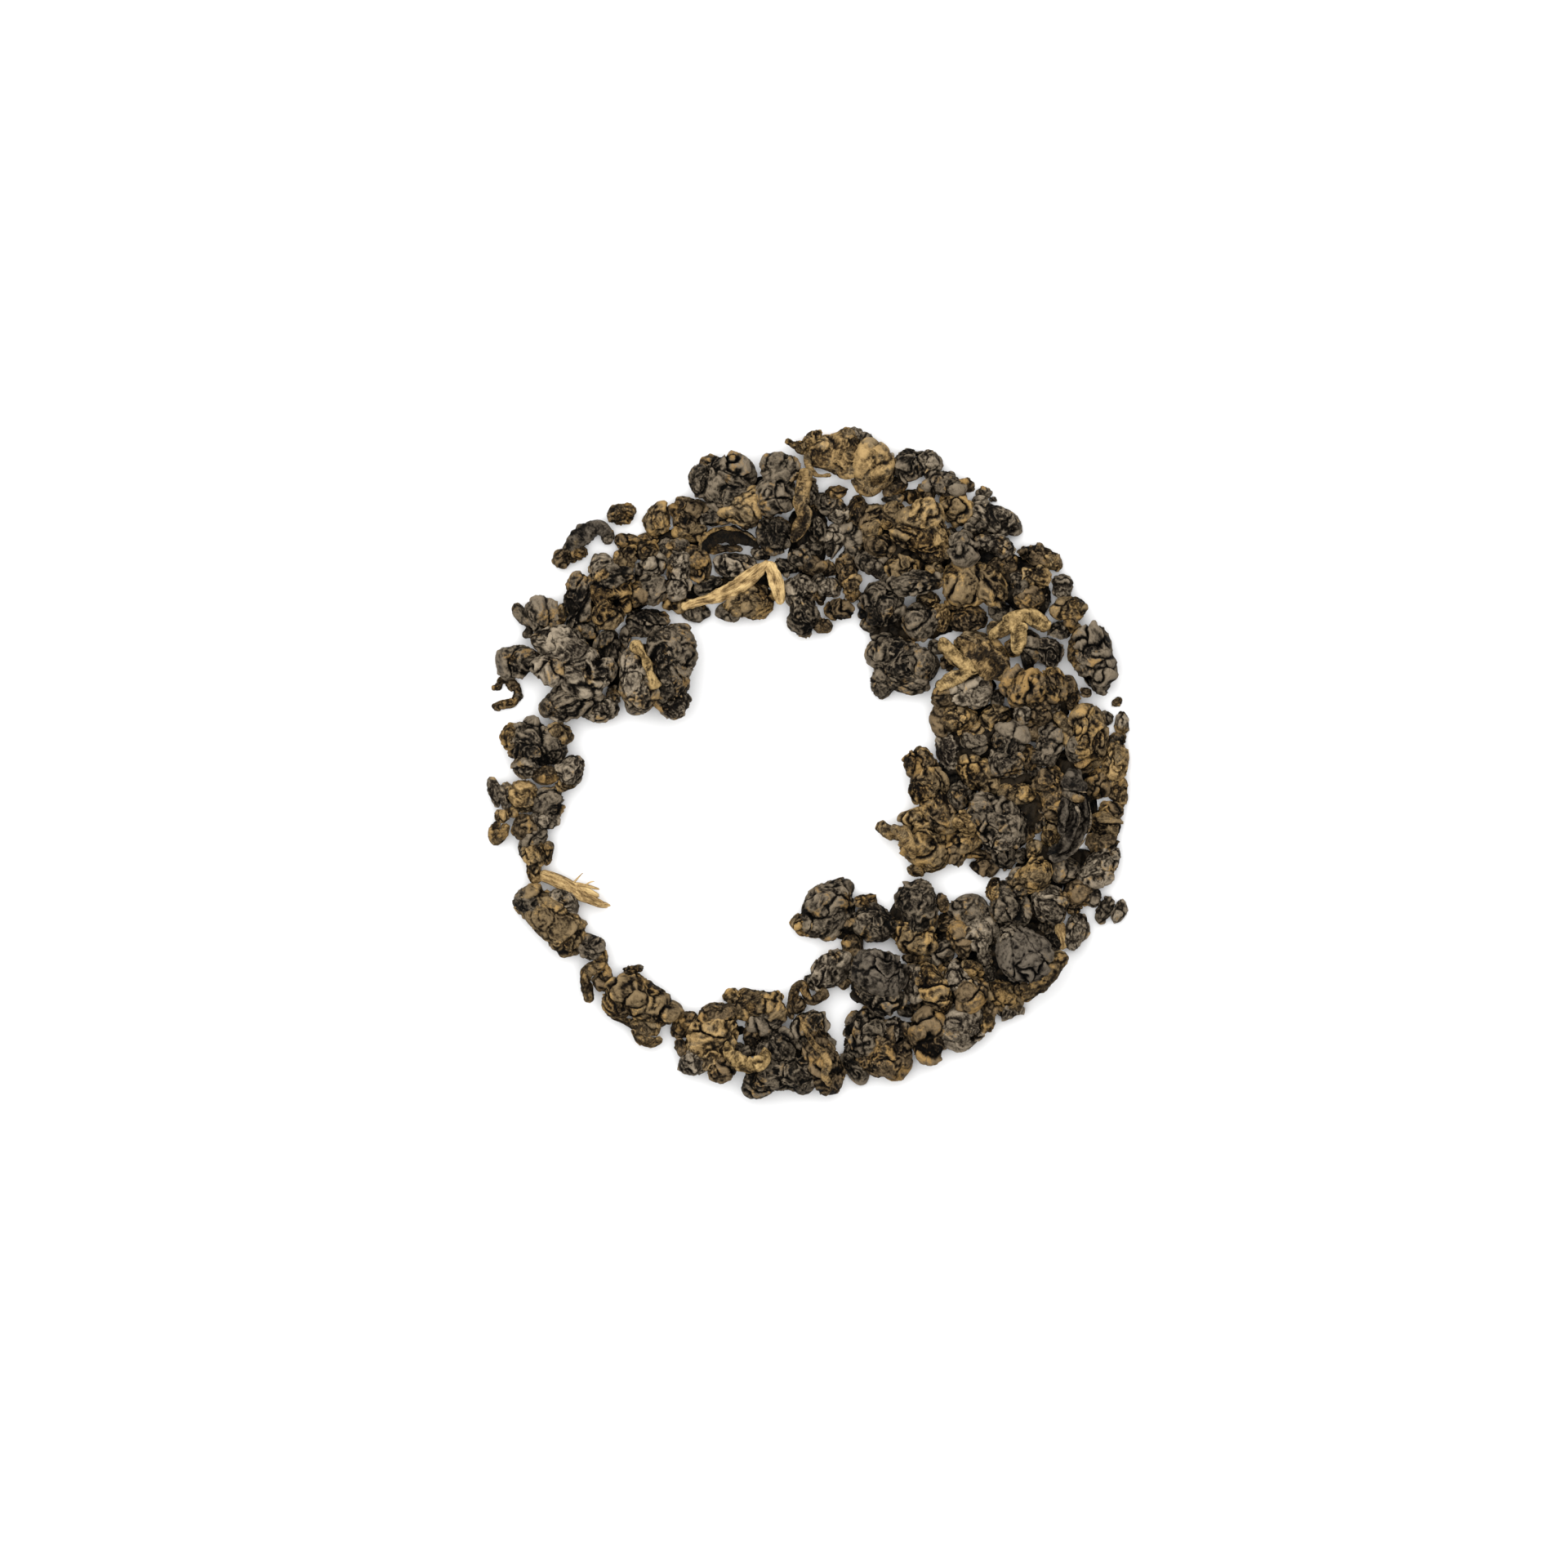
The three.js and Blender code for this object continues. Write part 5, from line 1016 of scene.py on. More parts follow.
def dressed(rod, outward, breadth, piece, salt):
    """Gives a strip its surface, fibres along a pale stem and crumpled folds on the others.
    Returns the moved points, how high each lies, the draws of its fold and the grain's place."""
    offset = offset_of(piece["seed"])
    if piece["finish"] != PALE:
        fold = np.full((len(rod), 1), max(STRIP_FOLD_LEAST, STRIP_FOLD * breadth))
        rise = np.full(len(rod), CALM_RISE if piece["calm"] else 1.0)
        moved, depth, own, grain = crumpled(rod + offset, outward, fold, rise, salt)
        return rod + STRIP_DEPTH * (moved - offset - rod), STRIP_DEPTH * depth, own, grain
    place = rod / FIBRE / (FIBRE_LENGTH, 1, 1) + offset
    place = place + FIBRE_WIND * noise(place * FIBRE_BENDS, salt + 20)
    rise = FIBRE_RISE * FIBRE * (rounded(np.abs(waves(place, salt + 21)) / BULGE_PART) - FIBRE_LEVEL)
    own = np.tile(draws(np.full((1, 3), piece["seed"]), salt + 22)[:, 1:], (len(rod), 1))
    return rod + outward * rise[:, None], rise, own, place


def noise_along(along, wave, piece, salt):
    """Three noises along a strip, with waves of this length."""
    still = np.zeros(len(along))
    return noise(np.stack((along / wave, still, still), 1) + offset_of(piece["seed"]), salt)


def end_taper(along, run, rounding):
    """The share of its breadth that a strip keeps at points along it, less where an end is rounded off."""
    from_end = np.minimum(along, run - along) / rounding
    return np.sqrt(np.clip(1 - (1 - np.minimum(from_end, 1)) ** 2, 0.0, 1))


def straight_rod(along, across, upward, outward):
    """The corners and the outward ways of a rod drawn along its first axis, ring by ring."""
    rod = np.stack(np.broadcast_arrays(along[:, None], across, upward), -1).reshape(-1, 3)
    return rod, np.broadcast_to(outward, (len(along), *outward.shape)).reshape(-1, 3)


def strip_points(piece):
    """One stem or strip, a grooved or crumpled rod drawn along its line."""
    path = piece["path"]
    thickest = path[:, 2].max()
    run = line_through(path, 2)[1]
    count = max(10, round(run / NET) + 1)
    sides = max(STRIP_SIDES_LEAST, round(math.pi * thickest / NET))
    line, run = line_through(path, count)
    along = np.linspace(0, run, count)
    thick = line[:, 2] / 2 * end_taper(along, run, STRIP_END * line[:, 2])
    stray = noise_along(along, STRAY_WAVE, piece, 21)
    stray *= line[:, 2:] * STRIP_STRAY
    angles = np.linspace(0, 2 * math.pi, sides, endpoint=False)
    level, steep = np.cos(angles), np.sin(angles)
    rod, outward = straight_rod(along, thick[:, None] * level, thick[:, None] * steep * STRIP_HEIGHT,
                                np.stack((0 * level, level, steep), 1))
    moved, depth, own, grain = dressed(rod, outward, thickest, piece, 2)
    shrink = np.repeat(np.minimum(1, thick / (STRIP_SHRINK * line[:, 2])), sides)[:, None]
    moved = rod + (moved - rod) * shrink
    ring = np.repeat(np.arange(count), sides)
    ahead = np.clip(moved[:, :1] - along[ring][:, None], -AHEAD_MOST, AHEAD_MOST)
    flat = np.zeros(len(ring))
    tangent = np.column_stack((unit(np.gradient(line[:, :2], axis=0))[ring], flat))
    side = np.column_stack((-tangent[:, 1], tangent[:, 0], flat))
    corners = np.column_stack((line[ring, 0], line[ring, 1], flat + piece["z"]))
    corners = corners + ahead * tangent + (moved[:, 1:2] + stray[ring, :1]) * side
    corners[:, 2] += moved[:, 2] + stray[ring, 1]
    return corners, tube_faces(count, sides), depth, own, grain


def tube_faces(count, sides):
    """The triangles between the rings of a tube."""
    rings = np.arange(count - 1)[:, None] * sides
    here = (rings + np.arange(sides)).reshape(-1)
    beside = (rings + (np.arange(sides) + 1) % sides).reshape(-1)
    first = np.stack((here, beside, beside + sides), 1)
    second = np.stack((here, beside + sides, here + sides), 1)
    return np.vstack((first, second))


# Ribbons: the side of a triangle
RIBBON_NET = 0.19
# How much of its breadth a ribbon's ragged edge and its slower unevenness take, and the length of their
# waves in millimetres
RAGGED = 0.16
RAGGED_WAVE = 0.5
UNEVEN = 0.3
UNEVEN_WAVE = 1.5
# How far a ribbon buckles, in millimetres, and the length of its waves along it, across it and through it,
# where it stays the same
BUCKLE = 0.16
BUCKLE_WAVES = (1.3, 0.9, 1e9)
# How square its section is, how far its edges look sideways, the shares of its breadth and thickness that
# its ends keep, and the least breadth after which they are rounded
SECTION = 0.6
EDGE_LOOK = 0.3
END_BREADTH = 0.05
END_THICKNESS = 0.15
END_LEAST = 0.2


def smooth_line(path, count):
    """Evenly spread points on a smooth line through a ribbon's points, with all that goes with them."""
    line = curve_through(path)[0]
    return evenly(line, np.linalg.norm(np.diff(line[:, :3], axis=0), axis=1), count)


def ribbon_points(piece):
    """One flat strip of leaf with a ragged edge."""
    path = piece["ribbon"]
    run = smooth_line(path, 2)[1]
    count = max(8, round(run / RIBBON_NET) + 1)
    line, run = smooth_line(path, count)
    sides = max(8, 2 * round(path[:, 3].max() / RIBBON_NET) + 2)
    along = np.linspace(0, run, count)
    taper = end_taper(along, run, 0.5 * np.maximum(line[:, 3], END_LEAST))
    ragged = RAGGED * noise_along(along, RAGGED_WAVE, piece, 24)[:, 0]
    uneven = UNEVEN * noise_along(along, UNEVEN_WAVE, piece, 26)[:, 0]
    half = line[:, 3] / 2 * (1 + ragged + uneven) * np.maximum(taper, END_BREADTH)
    thick = piece["thickness"] / 2 * np.maximum(taper, END_THICKNESS)
    angles = np.linspace(0, 2 * math.pi, sides, endpoint=False)
    level, steep = np.cos(angles), np.sin(angles)
    steep = np.sign(steep) * np.abs(steep) ** SECTION
    rod, outward = straight_rod(along, half[:, None] * level, thick[:, None] * steep,
                                unit(np.stack((0 * level, level * EDGE_LOOK, steep), 1)))
    moved, depth, own, grain = dressed(rod, outward, path[:, 3].max(), piece, 3)
    ring = np.repeat(np.arange(count), sides)
    moved = rod + (moved - rod) * taper[ring][:, None]
    bend = min(BUCKLE, 0.5 * piece["thickness"]) * waves(rod / BUCKLE_WAVES + offset_of(piece["seed"]), 25)
    lift = bend + piece["curl"] * line[ring, 3] * np.tile(level**2, count)
    tangents = unit(np.gradient(line[:, :3], axis=0))
    side = unit(np.cross((0, 0, 1), tangents))
    over = np.cross(tangents, side)
    c, s = np.cos(line[:, 4])[:, None], np.sin(line[:, 4])[:, None]
    rolled, upright = side * c + over * s, over * c - side * s
    corners = line[ring, :3] + rolled[ring] * moved[:, 1:2] + upright[ring] * (moved[:, 2] + lift)[:, None]
    return corners, tube_faces(count, sides), depth - depth.mean() + bend, own, grain


def hidden(points, piece, others):
    """Which corners of a lobe lie deep inside another lobe."""
    covered = np.zeros(len(points), bool)
    reach = max(piece["half"])
    for other in others:
        far = math.hypot(other["x"] - piece["x"], other["y"] - piece["y"])
        if other is piece or far > reach + max(other["half"]):
            continue
        c, s = math.cos(other["turn"]), math.sin(other["turn"])
        away = points - (other["x"], other["y"], other["z"])
        local = np.stack((away[:, 0] * c + away[:, 1] * s, away[:, 1] * c - away[:, 0] * s, away[:, 2]), 1)
        covered |= np.linalg.norm(local / other["half"], axis=1) < COVERED
    return covered


def sums_at(numbers, values, count):
    """Adds up the rows of values that share a number."""
    return np.stack([np.bincount(numbers, values[:, k], count) for k in range(values.shape[1])], 1)


# The rounds over which a height is evened out to tell what lies deep, which the leaf's materials darken as
# painted shade, the share that a corner keeps in each round, and the depth that counts as deepest
EVEN_ROUNDS = 16
EVEN_KEEPS = 0.3
DEEPEST = 0.22
# How far under the smooth lobe a broad hollow lies whose ground counts as deepest, and how much that says
LOWEST = 0.5
BROAD_SHARE = 0.3
# The rounds over which ridges are evened out, and how far a sharp one stands out, in triangles' sides. The
# ridges are painted paler as highlights.
RIDGE_ROUNDS = 2
SHARP_RIDGE = 0.35
# What keeps a division by a length or a count from failing
TINY = 1e-9


def ridges(corners, faces, depth):
    """How far each corner stands out from its neighbours, 0.5 on the level and 1 on a sharp ridge,
    and how deep it lies among the corners further round, 0 at the bottom and 1 on top. The leaf's materials
    paint the ridges paler as highlights and the low places darker as shade."""
    a, b, c = (corners[faces[:, k]] for k in range(3))
    facing = np.cross(b - a, c - a)
    count = len(corners)
    normals = sum(sums_at(faces[:, k], facing, count) for k in range(3))
    normals /= np.linalg.norm(normals, axis=1)[:, None] + TINY
    starts = faces.reshape(-1)
    ends = np.roll(faces, -1, axis=1).reshape(-1)
    times = np.bincount(starts, minlength=count)[:, None] + TINY
    mean = sums_at(starts, corners[ends], count) / times
    out = np.einsum("ij,ij->i", corners - mean, normals)[:, None]
    for _ in range(RIDGE_ROUNDS):
        out = 0.5 * out + 0.5 * sums_at(starts, out[ends], count) / times
    evened = depth[:, None]
    for _ in range(EVEN_ROUNDS):
        evened = EVEN_KEEPS * evened + (1 - EVEN_KEEPS) * sums_at(starts, evened[ends], count) / times
    high = (1 - BROAD_SHARE) * (depth - evened[:, 0]) / DEEPEST + BROAD_SHARE * evened[:, 0] / LOWEST
    return np.clip(0.5 + out[:, 0] / (SHARP_RIDGE * NET), 0, 1), np.clip(0.5 + 0.5 * high, 0, 1)


def gathered(pieces, lobes):
    """The corners, triangles, finishes, heights, fold's draws and grain of the lobes and strips in a list,
    without what lies deep inside other lobes."""
    round_ones = [piece for piece in pieces if "half" in piece]
    long_ones = [piece for piece in pieces if "half" not in piece and piece["finish"] is not None]
    stacks = []
    if round_ones:
        corners, faces, finishes, depth, own, grain, sizes = lobe_points(round_ones)
        ends = np.cumsum(sizes)
        covered = [hidden(corners[end - size:end], piece, lobes)
                   for piece, end, size in zip(round_ones, ends, sizes)]
        shown = ~np.concatenate(covered)[faces].all(axis=1)
        stacks.append((corners, faces[shown], finishes[shown], depth, own, grain))
    for piece in long_ones:
        drawn = ribbon_points if "ribbon" in piece else strip_points
        corners, faces, depth, own, grain = drawn(piece)
        stacks.append((corners, faces, np.full(len(faces), piece["finish"]), depth, own, grain))
    starts = np.cumsum([0] + [len(stack[0]) for stack in stacks])
    stacks = [(stack[0], stack[1] + start, *stack[2:]) for stack, start in zip(stacks, starts)]
    return [np.concatenate(parts) for parts in zip(*stacks)]


def leaf_mesh(name, corners, faces, finishes, mark, grain):
    """A mesh whose corners carry the marks and the grain for the leaf's colours."""
    mesh = bpy.data.meshes.new(name)
    mesh.vertices.add(len(corners))
    mesh.vertices.foreach_set("co", (corners * METRES).astype(np.float32).ravel())
    mesh.loops.add(faces.size)
    mesh.loops.foreach_set("vertex_index", faces.astype(np.int32).ravel())
    mesh.polygons.add(len(faces))
    mesh.polygons.foreach_set("loop_start", np.arange(0, faces.size, 3, dtype=np.int32))
    mesh.polygons.foreach_set("use_smooth", np.ones(len(faces), bool))
    kinds = sorted(set(finishes))
    mesh.polygons.foreach_set("material_index", np.searchsorted(kinds, finishes).astype(np.int32))
    for kind in kinds:
        mesh.materials.append(MATERIALS[kind])
    marks = mesh.attributes.new("mark", "FLOAT_COLOR", "POINT")
    marks.data.foreach_set("color", mark.astype(np.float32).ravel())
    grains = mesh.attributes.new("grain", "FLOAT_VECTOR", "POINT")
    grains.data.foreach_set("vector", grain.astype(np.float32).ravel())
    mesh.update(calc_edges=True)
    mesh.validate()
    return mesh


def make_piece(name, pieces, lobes, nodes):
    """One Blender object from the lobes and strips in a list. The marks of its corners say how high each
    lies, which is painted as shade where it lies low, its ridge, which is painted as a highlight, and its
    fold's draws."""
    corners, faces, finishes, depth, own, grain = gathered(pieces, lobes)
    corners[:, 2] = np.maximum(corners[:, 2], 0)
    ridge, high = ridges(corners, faces, depth)
    mark = np.column_stack((high, ridge, own))
    used, faces = np.unique(faces, return_inverse=True)
    faces = faces.reshape(-1, 3)
    mesh = leaf_mesh(name, corners[used], faces, finishes, mark[used], grain[used])
    obj = bpy.data.objects.new(name, mesh)
    bpy.context.scene.collection.objects.link(obj)
    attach(obj, "root")
    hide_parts(*nodes)
    print(name, len(faces), "triangles")
    return len(faces)


class Wire:
    """An output of a material's nodes. Arithmetic written on it adds the Math nodes that do it."""

    def __init__(self, paint, socket):
        self.paint = paint
        self.socket = socket

    def _math(self, operation, first, second):
        return self.paint.node("ShaderNodeMath", {"operation": operation}, {0: first, 1: second})

    def __add__(self, other):
        return self._math("ADD", self, other)

    def __radd__(self, other):
        return self._math("ADD", other, self)

    def __sub__(self, other):
        return self._math("SUBTRACT", self, other)

    def __rsub__(self, other):
        return self._math("SUBTRACT", other, self)

    def __mul__(self, other):
        return self._math("MULTIPLY", self, other)

    def __rmul__(self, other):
        return self._math("MULTIPLY", other, self)

    def __abs__(self):
        return self.paint.node("ShaderNodeMath", {"operation": "ABSOLUTE"}, {0: self})


class Paint:
    """A material and its nodes."""

    def __init__(self, name):
        self.material = bpy.data.materials.new(name)
        self.material.use_nodes = True
        self.tree = self.material.node_tree
        self.tree.nodes.clear()

    def node(self, kind, settings=(), sockets=(), output=0):
        """Adds a node of a kind, with its settings first and then the values or links of its sockets."""
        made = self.tree.nodes.new(kind)
        for key, value in dict(settings).items():
            setattr(made, key, value)
        for key, value in dict(sockets).items():
            if isinstance(value, Wire):
                self.tree.links.new(value.socket, made.inputs[key])
            else:
                made.inputs[key].default_value = value
        return Wire(self, made.outputs[output]) if len(made.outputs) else None

    def attribute(self, name, output):
        """One of the marks that a mesh carries."""
        return self.node("ShaderNodeAttribute", {"attribute_name": name}, {}, output)

    def noise(self, place, scale, detail, roughness):
        """A cloudy noise from 0 to 1."""
        sockets = {"Vector": place, "Scale": scale, "Detail": detail, "Roughness": roughness}
        return self.node("ShaderNodeTexNoise", {}, sockets)

    def eased(self, value, low, high):
        """Goes smoothly from 0 to 1 while the value goes from low to high."""
        sockets = {0: value, 1: low, 2: high, 3: 0.0, 4: 1.0}
        return self.node("ShaderNodeMapRange", {"interpolation_type": "SMOOTHSTEP"}, sockets)

    def mix(self, factor, first, second):
        """Colours mixed by a factor."""
        return self.node("ShaderNodeMix", {"data_type": "RGBA"}, {0: factor, 6: first, 7: second}, 2)

    def finish(self, sockets):
        """Ends the material with a surface that has these values."""
        surface = self.node("ShaderNodeBsdfPrincipled", {}, sockets)
        self.node("ShaderNodeOutputMaterial", {}, {"Surface": surface})


# The curve of a screen's brightness: its foot and its power
SCREEN_FOOT = 0.055
SCREEN_POWER = 2.4


def colour(shown):
    """A colour as it shows on a screen, turned into the light that a shader reckons with."""
    return (*(((value / 255 + SCREEN_FOOT) / (1 + SCREEN_FOOT)) ** SCREEN_POWER for value in shown), 1)


# The leaf's noises: scale, detail and roughness. The first two lie on the grain, the others in space.
FINE = (1.4, 3.0, 0.7)
CREST = (0.6, 3.0, 0.6)
PORES = (4200.0, 3.0, 0.65)
CLOUDS = (330.0, 2.0, 0.55)
PATCHES = (900.0, 2.0, 0.6)
# Half the breadth of a fine crest, in the noise's values
CREST_BREADTH = 0.1
# How much each of these makes a place paler: its height in the folds, which leaves creases and hollows in
# painted shade, its ridge, which paints highlights, the fine crests, the grain, the pores and its fold's
# second draw
PALER = (0.9, 0.3, 0.14, 0.6, 0.42, 0.15)
# How much each makes it golden: the clouds, the patches, its fold's first draw, its ridge, partly as a
# painted highlight, the grain and the pores
GOLDEN = (1.4, 0.8, 0.3, 0.3, 0.7, 0.5)
# How much each raises the finest relief: the grain, the pores and the fine crests
RELIEF = (1.0, 0.9, 0.6)
# From which to which level the dark colour turns into the light one, the gold into the bright one, and the
# deep one, painted shade in creases and hollows, into both
BODY_LEVELS = (1.08, 1.86)
GOLD_LEVELS = (1.08, 1.88)
PAINTED_SHADE_LEVELS = (0.9, 1.42)
# Where gold begins and where it is full on a leaf that has no share of it
GOLD_FROM = 2.11
GOLD_TO = 2.37
# The height of the finest grain in metres
GRAIN_HEIGHT = 0.00008
# How rough most leaf is, how much the pores vary that, and the leaf's weak gloss
MATT = 0.6
MATT_SPREAD = 0.2
LEAF_GLOSS = 0.045


def weighed(weights, wires):
    """The sum of some values, each times its weight."""
    parts = [weight * wire for weight, wire in zip(weights, wires)]
    total = parts[0]
    for part in parts[1:]:
        total = total + part
    return total


def leaf(name, deep, dark, light, gold, bright, share, roughness=MATT):
    """Rolled tea leaf: painted shade deep in its creases and hollows, dark to light on its folds with its
    ridges painted paler as highlights, and gold to bright where the leaf's stalk side shows and, partly as
    a painted highlight, along its ridges. The share says how much of it is golden."""
    paint = Paint(name)
    high = paint.node("ShaderNodeSeparateColor", {}, {0: paint.attribute("mark", "Color")})
    marks = high.socket.node.outputs
    ridge = Wire(paint, marks[1])
    fold = Wire(paint, marks[2])
    tiny = paint.attribute("mark", "Alpha")
    grain = paint.attribute("grain", "Vector")
    place = paint.node("ShaderNodeTexCoord", {}, {}, "Object")

    fine = paint.noise(grain, *FINE)
    pores = paint.noise(place, *PORES)
    clouds = paint.noise(place, *CLOUDS)
    patches = paint.noise(place, *PATCHES)
    crest = 1.0 - paint.eased(abs(paint.noise(grain, *CREST) - 0.5), 0.0, CREST_BREADTH)

    # The level is low in creases and hollows for painted shade and high on ridges for painted highlights,
    # varied by the grain and pores
    level = weighed(PALER, (high, ridge, crest, fine, pores, tiny))
    body = paint.mix(paint.eased(level, *BODY_LEVELS), colour(dark), colour(light))
    # Gold also follows the ridges, partly as a painted highlight
    golden = weighed(GOLDEN, (clouds, patches, fold, ridge, fine, pores))
    golden = paint.eased(golden, GOLD_FROM - share, GOLD_TO - share)
    straw = paint.mix(paint.eased(level, *GOLD_LEVELS), colour(gold), colour(bright))
    body = paint.mix(golden, body, straw)
    # Painted shade: the deep colour darkens the creases and hollows, where the level is low
    body = paint.mix(paint.eased(level, *PAINTED_SHADE_LEVELS), colour(deep), body)

    bump = {"Strength": 1.0, "Distance": GRAIN_HEIGHT, "Height": weighed(RELIEF, (fine, pores, crest))}
    paint.finish({
        "Base Color": body,
        "Roughness": roughness + MATT_SPREAD * pores - MATT_SPREAD / 2,
        "Normal": paint.node("ShaderNodeBump", {}, bump),
        "Specular IOR Level": LEAF_GLOSS,
    })
    return paint.material


# Each finish's deep colour, painted shade for its creases and hollows, then its dark, light, gold and
# bright colours as they show on a screen, from 0 to 255, then its share of gold and, where it isn't the
# usual one, its roughness
MATERIALS = {
    # The core's finish is near black: painted shadow where the buried core shows between the pellets. The
    # flat dark leaf uses it for its own deep brown.
    SHADED: leaf("core_leaf_painted_shadow", (3, 2, 1), (10, 8, 5), (34, 28, 20), (20, 15, 9), (44, 34, 21), -0.1),
    BLACK: leaf("black_leaf", (3, 2, 1), (22, 18, 14), (98, 89, 77), (37, 30, 20), (112, 96, 71),
        -0.24, 0.5),
    CHARCOAL: leaf("charcoal_leaf", (4, 3, 1), (29, 24, 18), (118, 106, 89), (52, 39, 23), (140, 113, 73),
        -0.12),
    GREY: leaf("grey_leaf", (7, 5, 3), (41, 34, 26), (144, 131, 112), (64, 49, 30), (152, 126, 86), -0.1),
    BROWN: leaf("brown_leaf", (5, 3, 1), (30, 23, 15), (114, 96, 71), (54, 40, 23), (144, 115, 71), 0),
    TAN: leaf("tan_leaf", (7, 4, 2), (38, 29, 18), (124, 105, 76), (66, 50, 29), (156, 127, 81), 0.08),
    GOLD: leaf("golden_leaf", (12, 8, 4), (49, 39, 26), (130, 112, 84), (76, 59, 36), (166, 138, 93),
        0.24),
    STRAW: leaf("straw_leaf", (22, 15, 7), (80, 64, 40), (154, 132, 96), (104, 84, 52), (190, 161, 110),
        0.36),
    PALE: leaf("pale_stem", (40, 29, 16), (124, 99, 64), (182, 153, 106), (146, 118, 77), (222, 193, 137),
        0.5, 0.55),
}

# The body that ties a pellet's lobes together: its length, breadth and height as shares of all they take up
BODY_LENGTH = 0.9
BODY_BREADTH = 0.86
BODY_HEIGHT = 0.86


def reach_of(one, angle):
    """How far a lobe reaches from its middle at an angle to its length."""
    return math.hypot(one["half"][0] * math.cos(angle), one["half"][1] * math.sin(angle))


def body_of(lobes):
    """One lobe through the middle of a pellet's lobes, which nothing rests on."""
    middles = np.array([(one["x"], one["y"]) for one in lobes])
    bulks = np.array([one["half"][0] * one["half"][1] for one in lobes])
    middle = bulks @ middles / bulks.sum()
    spread = (middles - middle) * bulks[:, None]
    spread = spread.T @ (middles - middle)
    for one, bulk in zip(lobes, bulks):
        own = about_z(one["turn"])[:2, :2]
        spread += bulk / 4 * own @ np.diag(np.square(one["half"][:2])) @ own.T
    ways = np.linalg.eigh(spread)[1][:, ::-1]
    ends = []
    for way in ways.T:
        angle = math.atan2(way[1], way[0])
        reach = [reach_of(one, angle - one["turn"]) for one in lobes]
        place = (middles - middle) @ way
        ends.append(((place - reach).min(), (place + reach).max()))
    x, y = middle + ways @ [(low + high) / 2 for low, high in ends]
    length, breadth = ((high - low) / 2 for low, high in ends)
    height = max(one["half"][2] for one in lobes)
    half = (BODY_LENGTH * length, BODY_BREADTH * breadth, BODY_HEIGHT * height)
    turn = math.atan2(ways[1, 0], ways[0, 0])
    return {**lobes[int(bulks.argmax())], "x": x, "y": y, "half": half, "turn": turn, "bears": False}


def with_bodies(pellets):
    """Adds its body to each pellet of more than one lobe."""
    for one in pellets:
        lobes = [piece for piece in one["pieces"] if piece["bears"] and "half" in piece]
        if len(lobes) > 1:
            one["pieces"] = (*one["pieces"], body_of(lobes))


# Seeds: bearing pieces take theirs from the frame's order, the others theirs from these on
EXTRA_SEEDS = 500
RIBBON_SEEDS = 900


def seeded(nodes):
    """Every piece of the nodes' pellets, ribbons and fillings, each with its seed and its node."""
    seed = 0
    every = []
    for name, pellets in nodes.items():
        for piece in (piece for one in pellets for piece in one["pieces"]):
            seed += piece["bears"]
            piece["seed"] = seed if piece["bears"] else EXTRA_SEEDS + len(every)
            piece["node"] = name
            every.append(piece)
    for name, pieces in (*RIBBONS.items(), ("tea_heap", FILLINGS)):
        for piece in pieces:
            piece.update(seed=RIBBON_SEEDS + len(every), node=name)
            every.append(piece)
    return every


nodes = {"tea_heap": HEAP, **{name: [one] for name, one in SINGLES.items()}}
fall([one for pellets in nodes.values() for one in pellets])
with_bodies(HEAP)
every_piece = seeded(nodes)
for number, piece in enumerate(BURIED):
    piece.update(z=0.0, seed=number, node="core")
all_lobes = [piece for piece in (*every_piece, *BURIED) if "half" in piece]
heap = [piece for piece in every_piece if piece["node"] == "tea_heap"]


def heap_lobes(*finishes):
    """The heap's lobes that have one of these finishes."""
    return [piece for piece in heap if piece["finish"] in finishes and "half" in piece]


# How far above the ring's middle, seen from above, the line lies that parts the charcoal lobes. One object
# for all of them would have too many triangles.
CHARCOAL_SPLIT = 5.0
charcoals = heap_lobes(CHARCOAL)
upper = [piece for piece in charcoals if piece["y"] > CHARCOAL_SPLIT]
lower = [piece for piece in charcoals if piece["y"] <= CHARCOAL_SPLIT]
stems = [piece for piece in heap if "half" not in piece]
# Every object that the heap is drawn with: its name, its pieces and its slot
HEAP_OBJECTS = [
    ("heap_black_leaf", heap_lobes(BLACK), "dark_leaf"),
    ("heap_grey_leaf", heap_lobes(GREY), "dark_leaf"),
    ("heap_brown_leaf", heap_lobes(BROWN), "brown_leaf"),
    ("heap_tan_leaf", heap_lobes(TAN), "brown_leaf"),
    ("heap_golden_leaf", heap_lobes(GOLD, STRAW, PALE), "golden_leaf"),
    ("heap_charcoal_leaf_upper", upper, "dark_leaf"),
    ("heap_charcoal_leaf_lower", lower, "dark_leaf"),
    ("heap_stems", stems, "golden_leaf"),
    # The buried core, painted near black as the shadow in the gaps
    ("heap_core_painted_shadow", BURIED, "dark_leaf"),
]
# The slots of the single pellets, flakes and crumbs
SLOTS = {
    "stalk_pellet": "golden_leaf",
    "left_pellet": "dark_leaf",
    "loose_hook": "brown_leaf",
    "loose_bud": "brown_leaf",
    "loose_curl": "brown_leaf",
    "right_pellet": "dark_leaf",
    "flake_gold": "golden_leaf",
    "flake_dark": "dark_leaf",
    "flake_long": "brown_leaf",
    "crumb_large": "dark_leaf",
    "crumb_small": "dark_leaf",
}
total = 0
for name, pieces, slot in HEAP_OBJECTS:
    total += make_piece(name, pieces, all_lobes, ["tea_heap"])
for name, slot in SLOTS.items():
    pieces = [piece for piece in every_piece if piece["node"] == name]
    total += make_piece(name + "_leaf", pieces, all_lobes, [name])
print(total, "triangles in all")

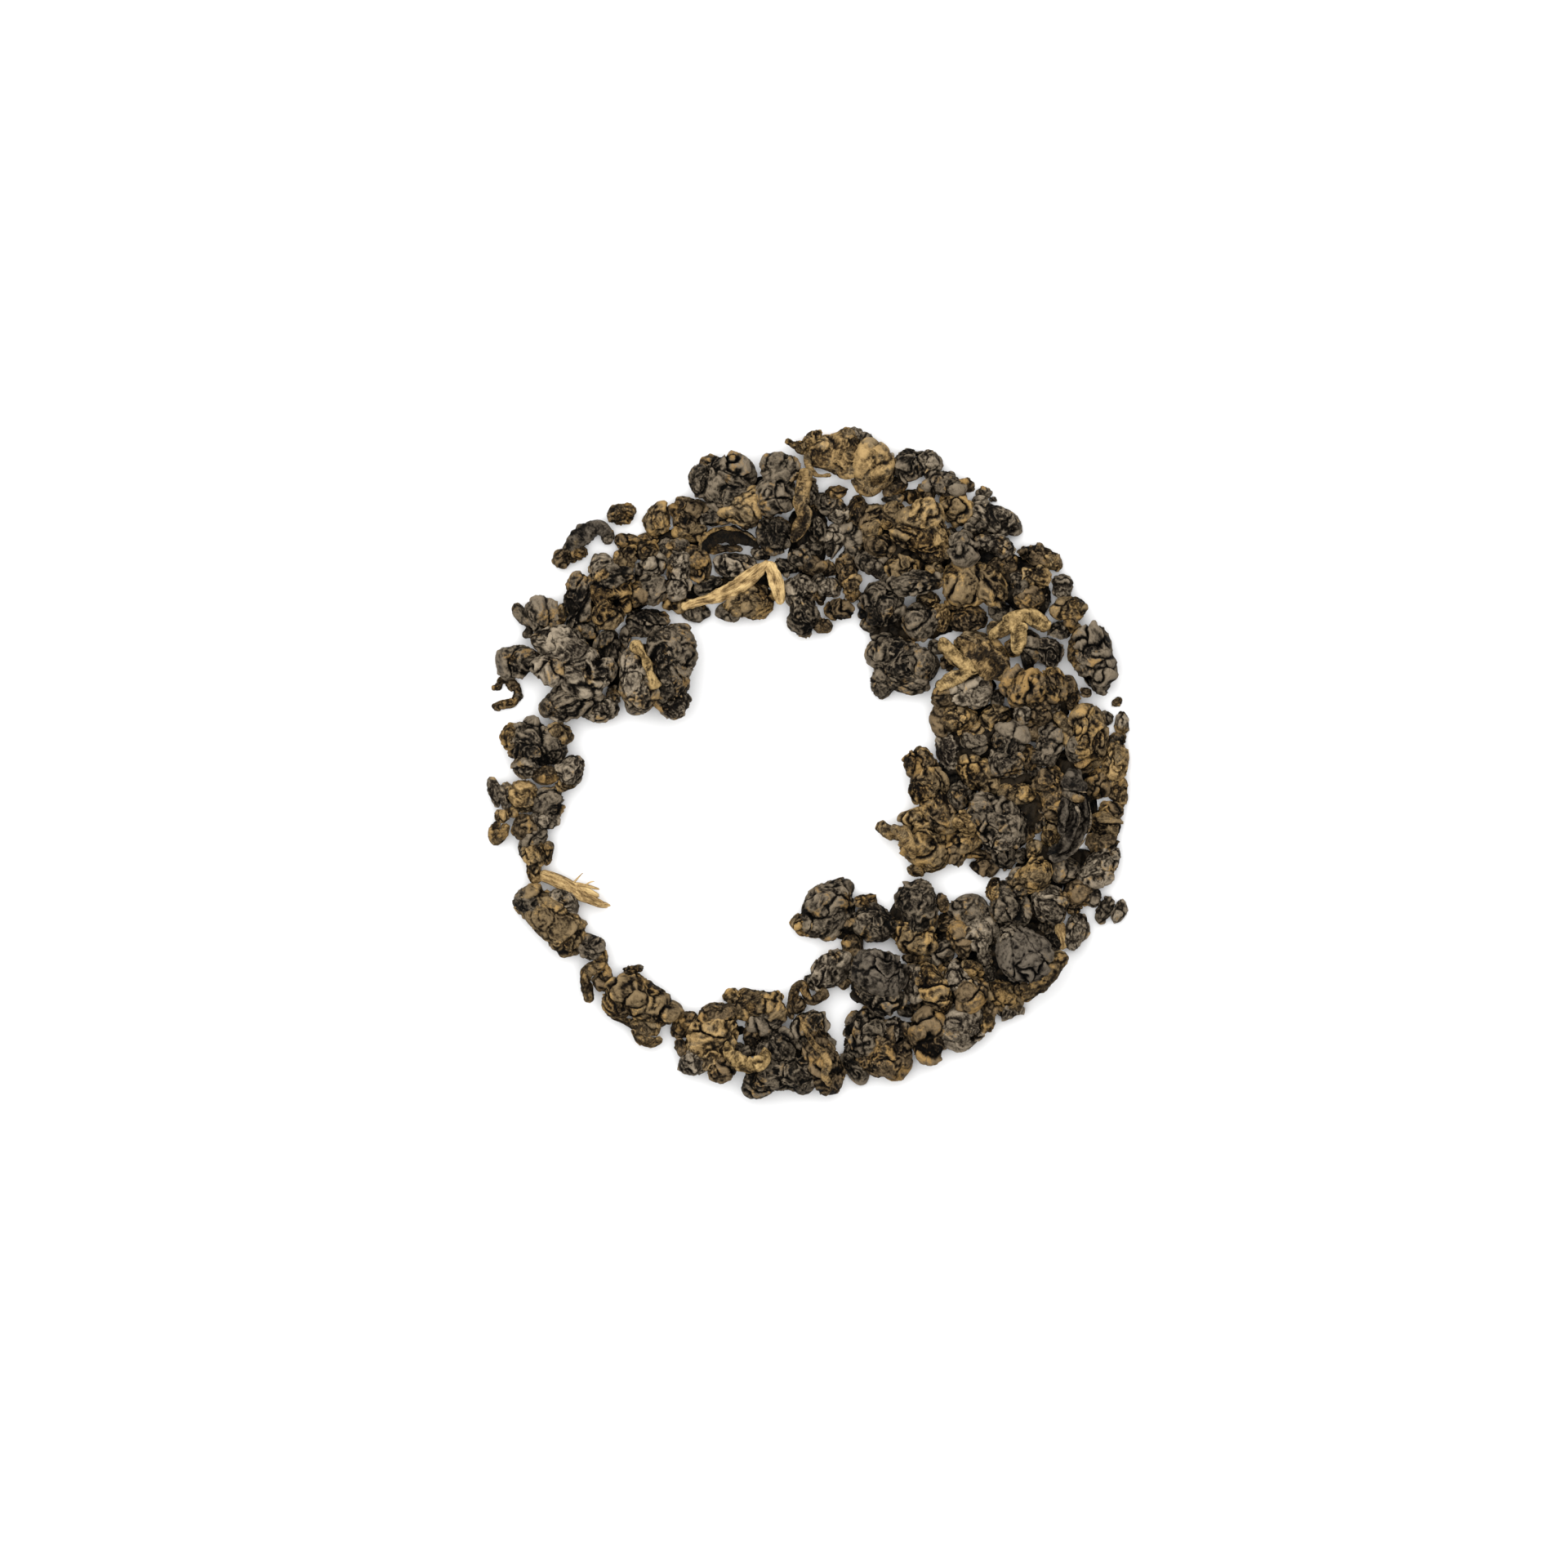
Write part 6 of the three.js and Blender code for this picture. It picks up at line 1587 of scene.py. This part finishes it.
# The table and the light, in metres: half the table's side, how pale it is, the lamp's place, width and
# power, and the strength of the light from all round
FLOOR_HALF = 2.0
FLOOR_PALE = 0.8
LAMP_PLACE = (-0.1, 0.15, 0.7)
LAMP_WIDTH = 1.8
LAMP_POWER = 22
WORLD_STRENGTH = 0.15


def plain_floor():
    """A flat white table under the ring."""
    half = FLOOR_HALF
    corners = [(-half, -half, 0), (half, -half, 0), (half, half, 0), (-half, half, 0)]
    mesh = bpy.data.meshes.new("floor")
    mesh.from_pydata(corners, [], [(0, 1, 2, 3)])
    floor = bpy.data.objects.new("floor", mesh)
    bpy.context.scene.collection.objects.link(floor)
    paint = Paint("white_table")
    paint.finish({"Base Color": (FLOOR_PALE, FLOOR_PALE, FLOOR_PALE, 1), "Roughness": FLOOR_PALE})
    mesh.materials.append(paint.material)


def lamp(name, place, width, power):
    """A round soft lamp that looks at the ring's middle."""
    light = bpy.data.lights.new(name, "AREA")
    light.shape = "DISK"
    light.size = width
    light.energy = power
    obj = bpy.data.objects.new(name, light)
    bpy.context.scene.collection.objects.link(obj)
    obj.location = place
    obj.rotation_mode = "QUATERNION"
    obj.rotation_quaternion = (-Vector(place)).to_track_quat("-Z", "Y")


def daylight(strength):
    """Even white light from all round."""
    world = bpy.data.worlds.new("studio")
    world.use_nodes = True
    background = world.node_tree.nodes["Background"]
    background.inputs["Color"].default_value = (1, 1, 1, 1)
    background.inputs["Strength"].default_value = strength
    bpy.context.scene.world = world


# The camera's lens and sensor in millimetres, and how far it sees in metres
LENS = 200.0
SENSOR = 36.0
SIGHT = 10.0


def camera_above():
    """A camera straight above the sheet's middle, which takes in the whole sheet."""
    camera = bpy.data.objects.new("camera", bpy.data.cameras.new("camera"))
    bpy.context.scene.collection.objects.link(camera)
    camera.data.lens = LENS
    camera.data.sensor_width = SENSOR
    camera.data.clip_end = SIGHT
    middle_x, middle_y = SHEET / 2 - MIDDLE_X, MIDDLE_Y - SHEET / 2
    camera.location = (middle_x * METRES, middle_y * METRES, SHEET * LENS / SENSOR * METRES)
    return camera


plain_floor()
lamp("softbox", LAMP_PLACE, LAMP_WIDTH, LAMP_POWER)
daylight(WORLD_STRENGTH)
bpy.context.scene.view_settings.view_transform = "Standard"
bpy.context.scene.camera = camera_above()
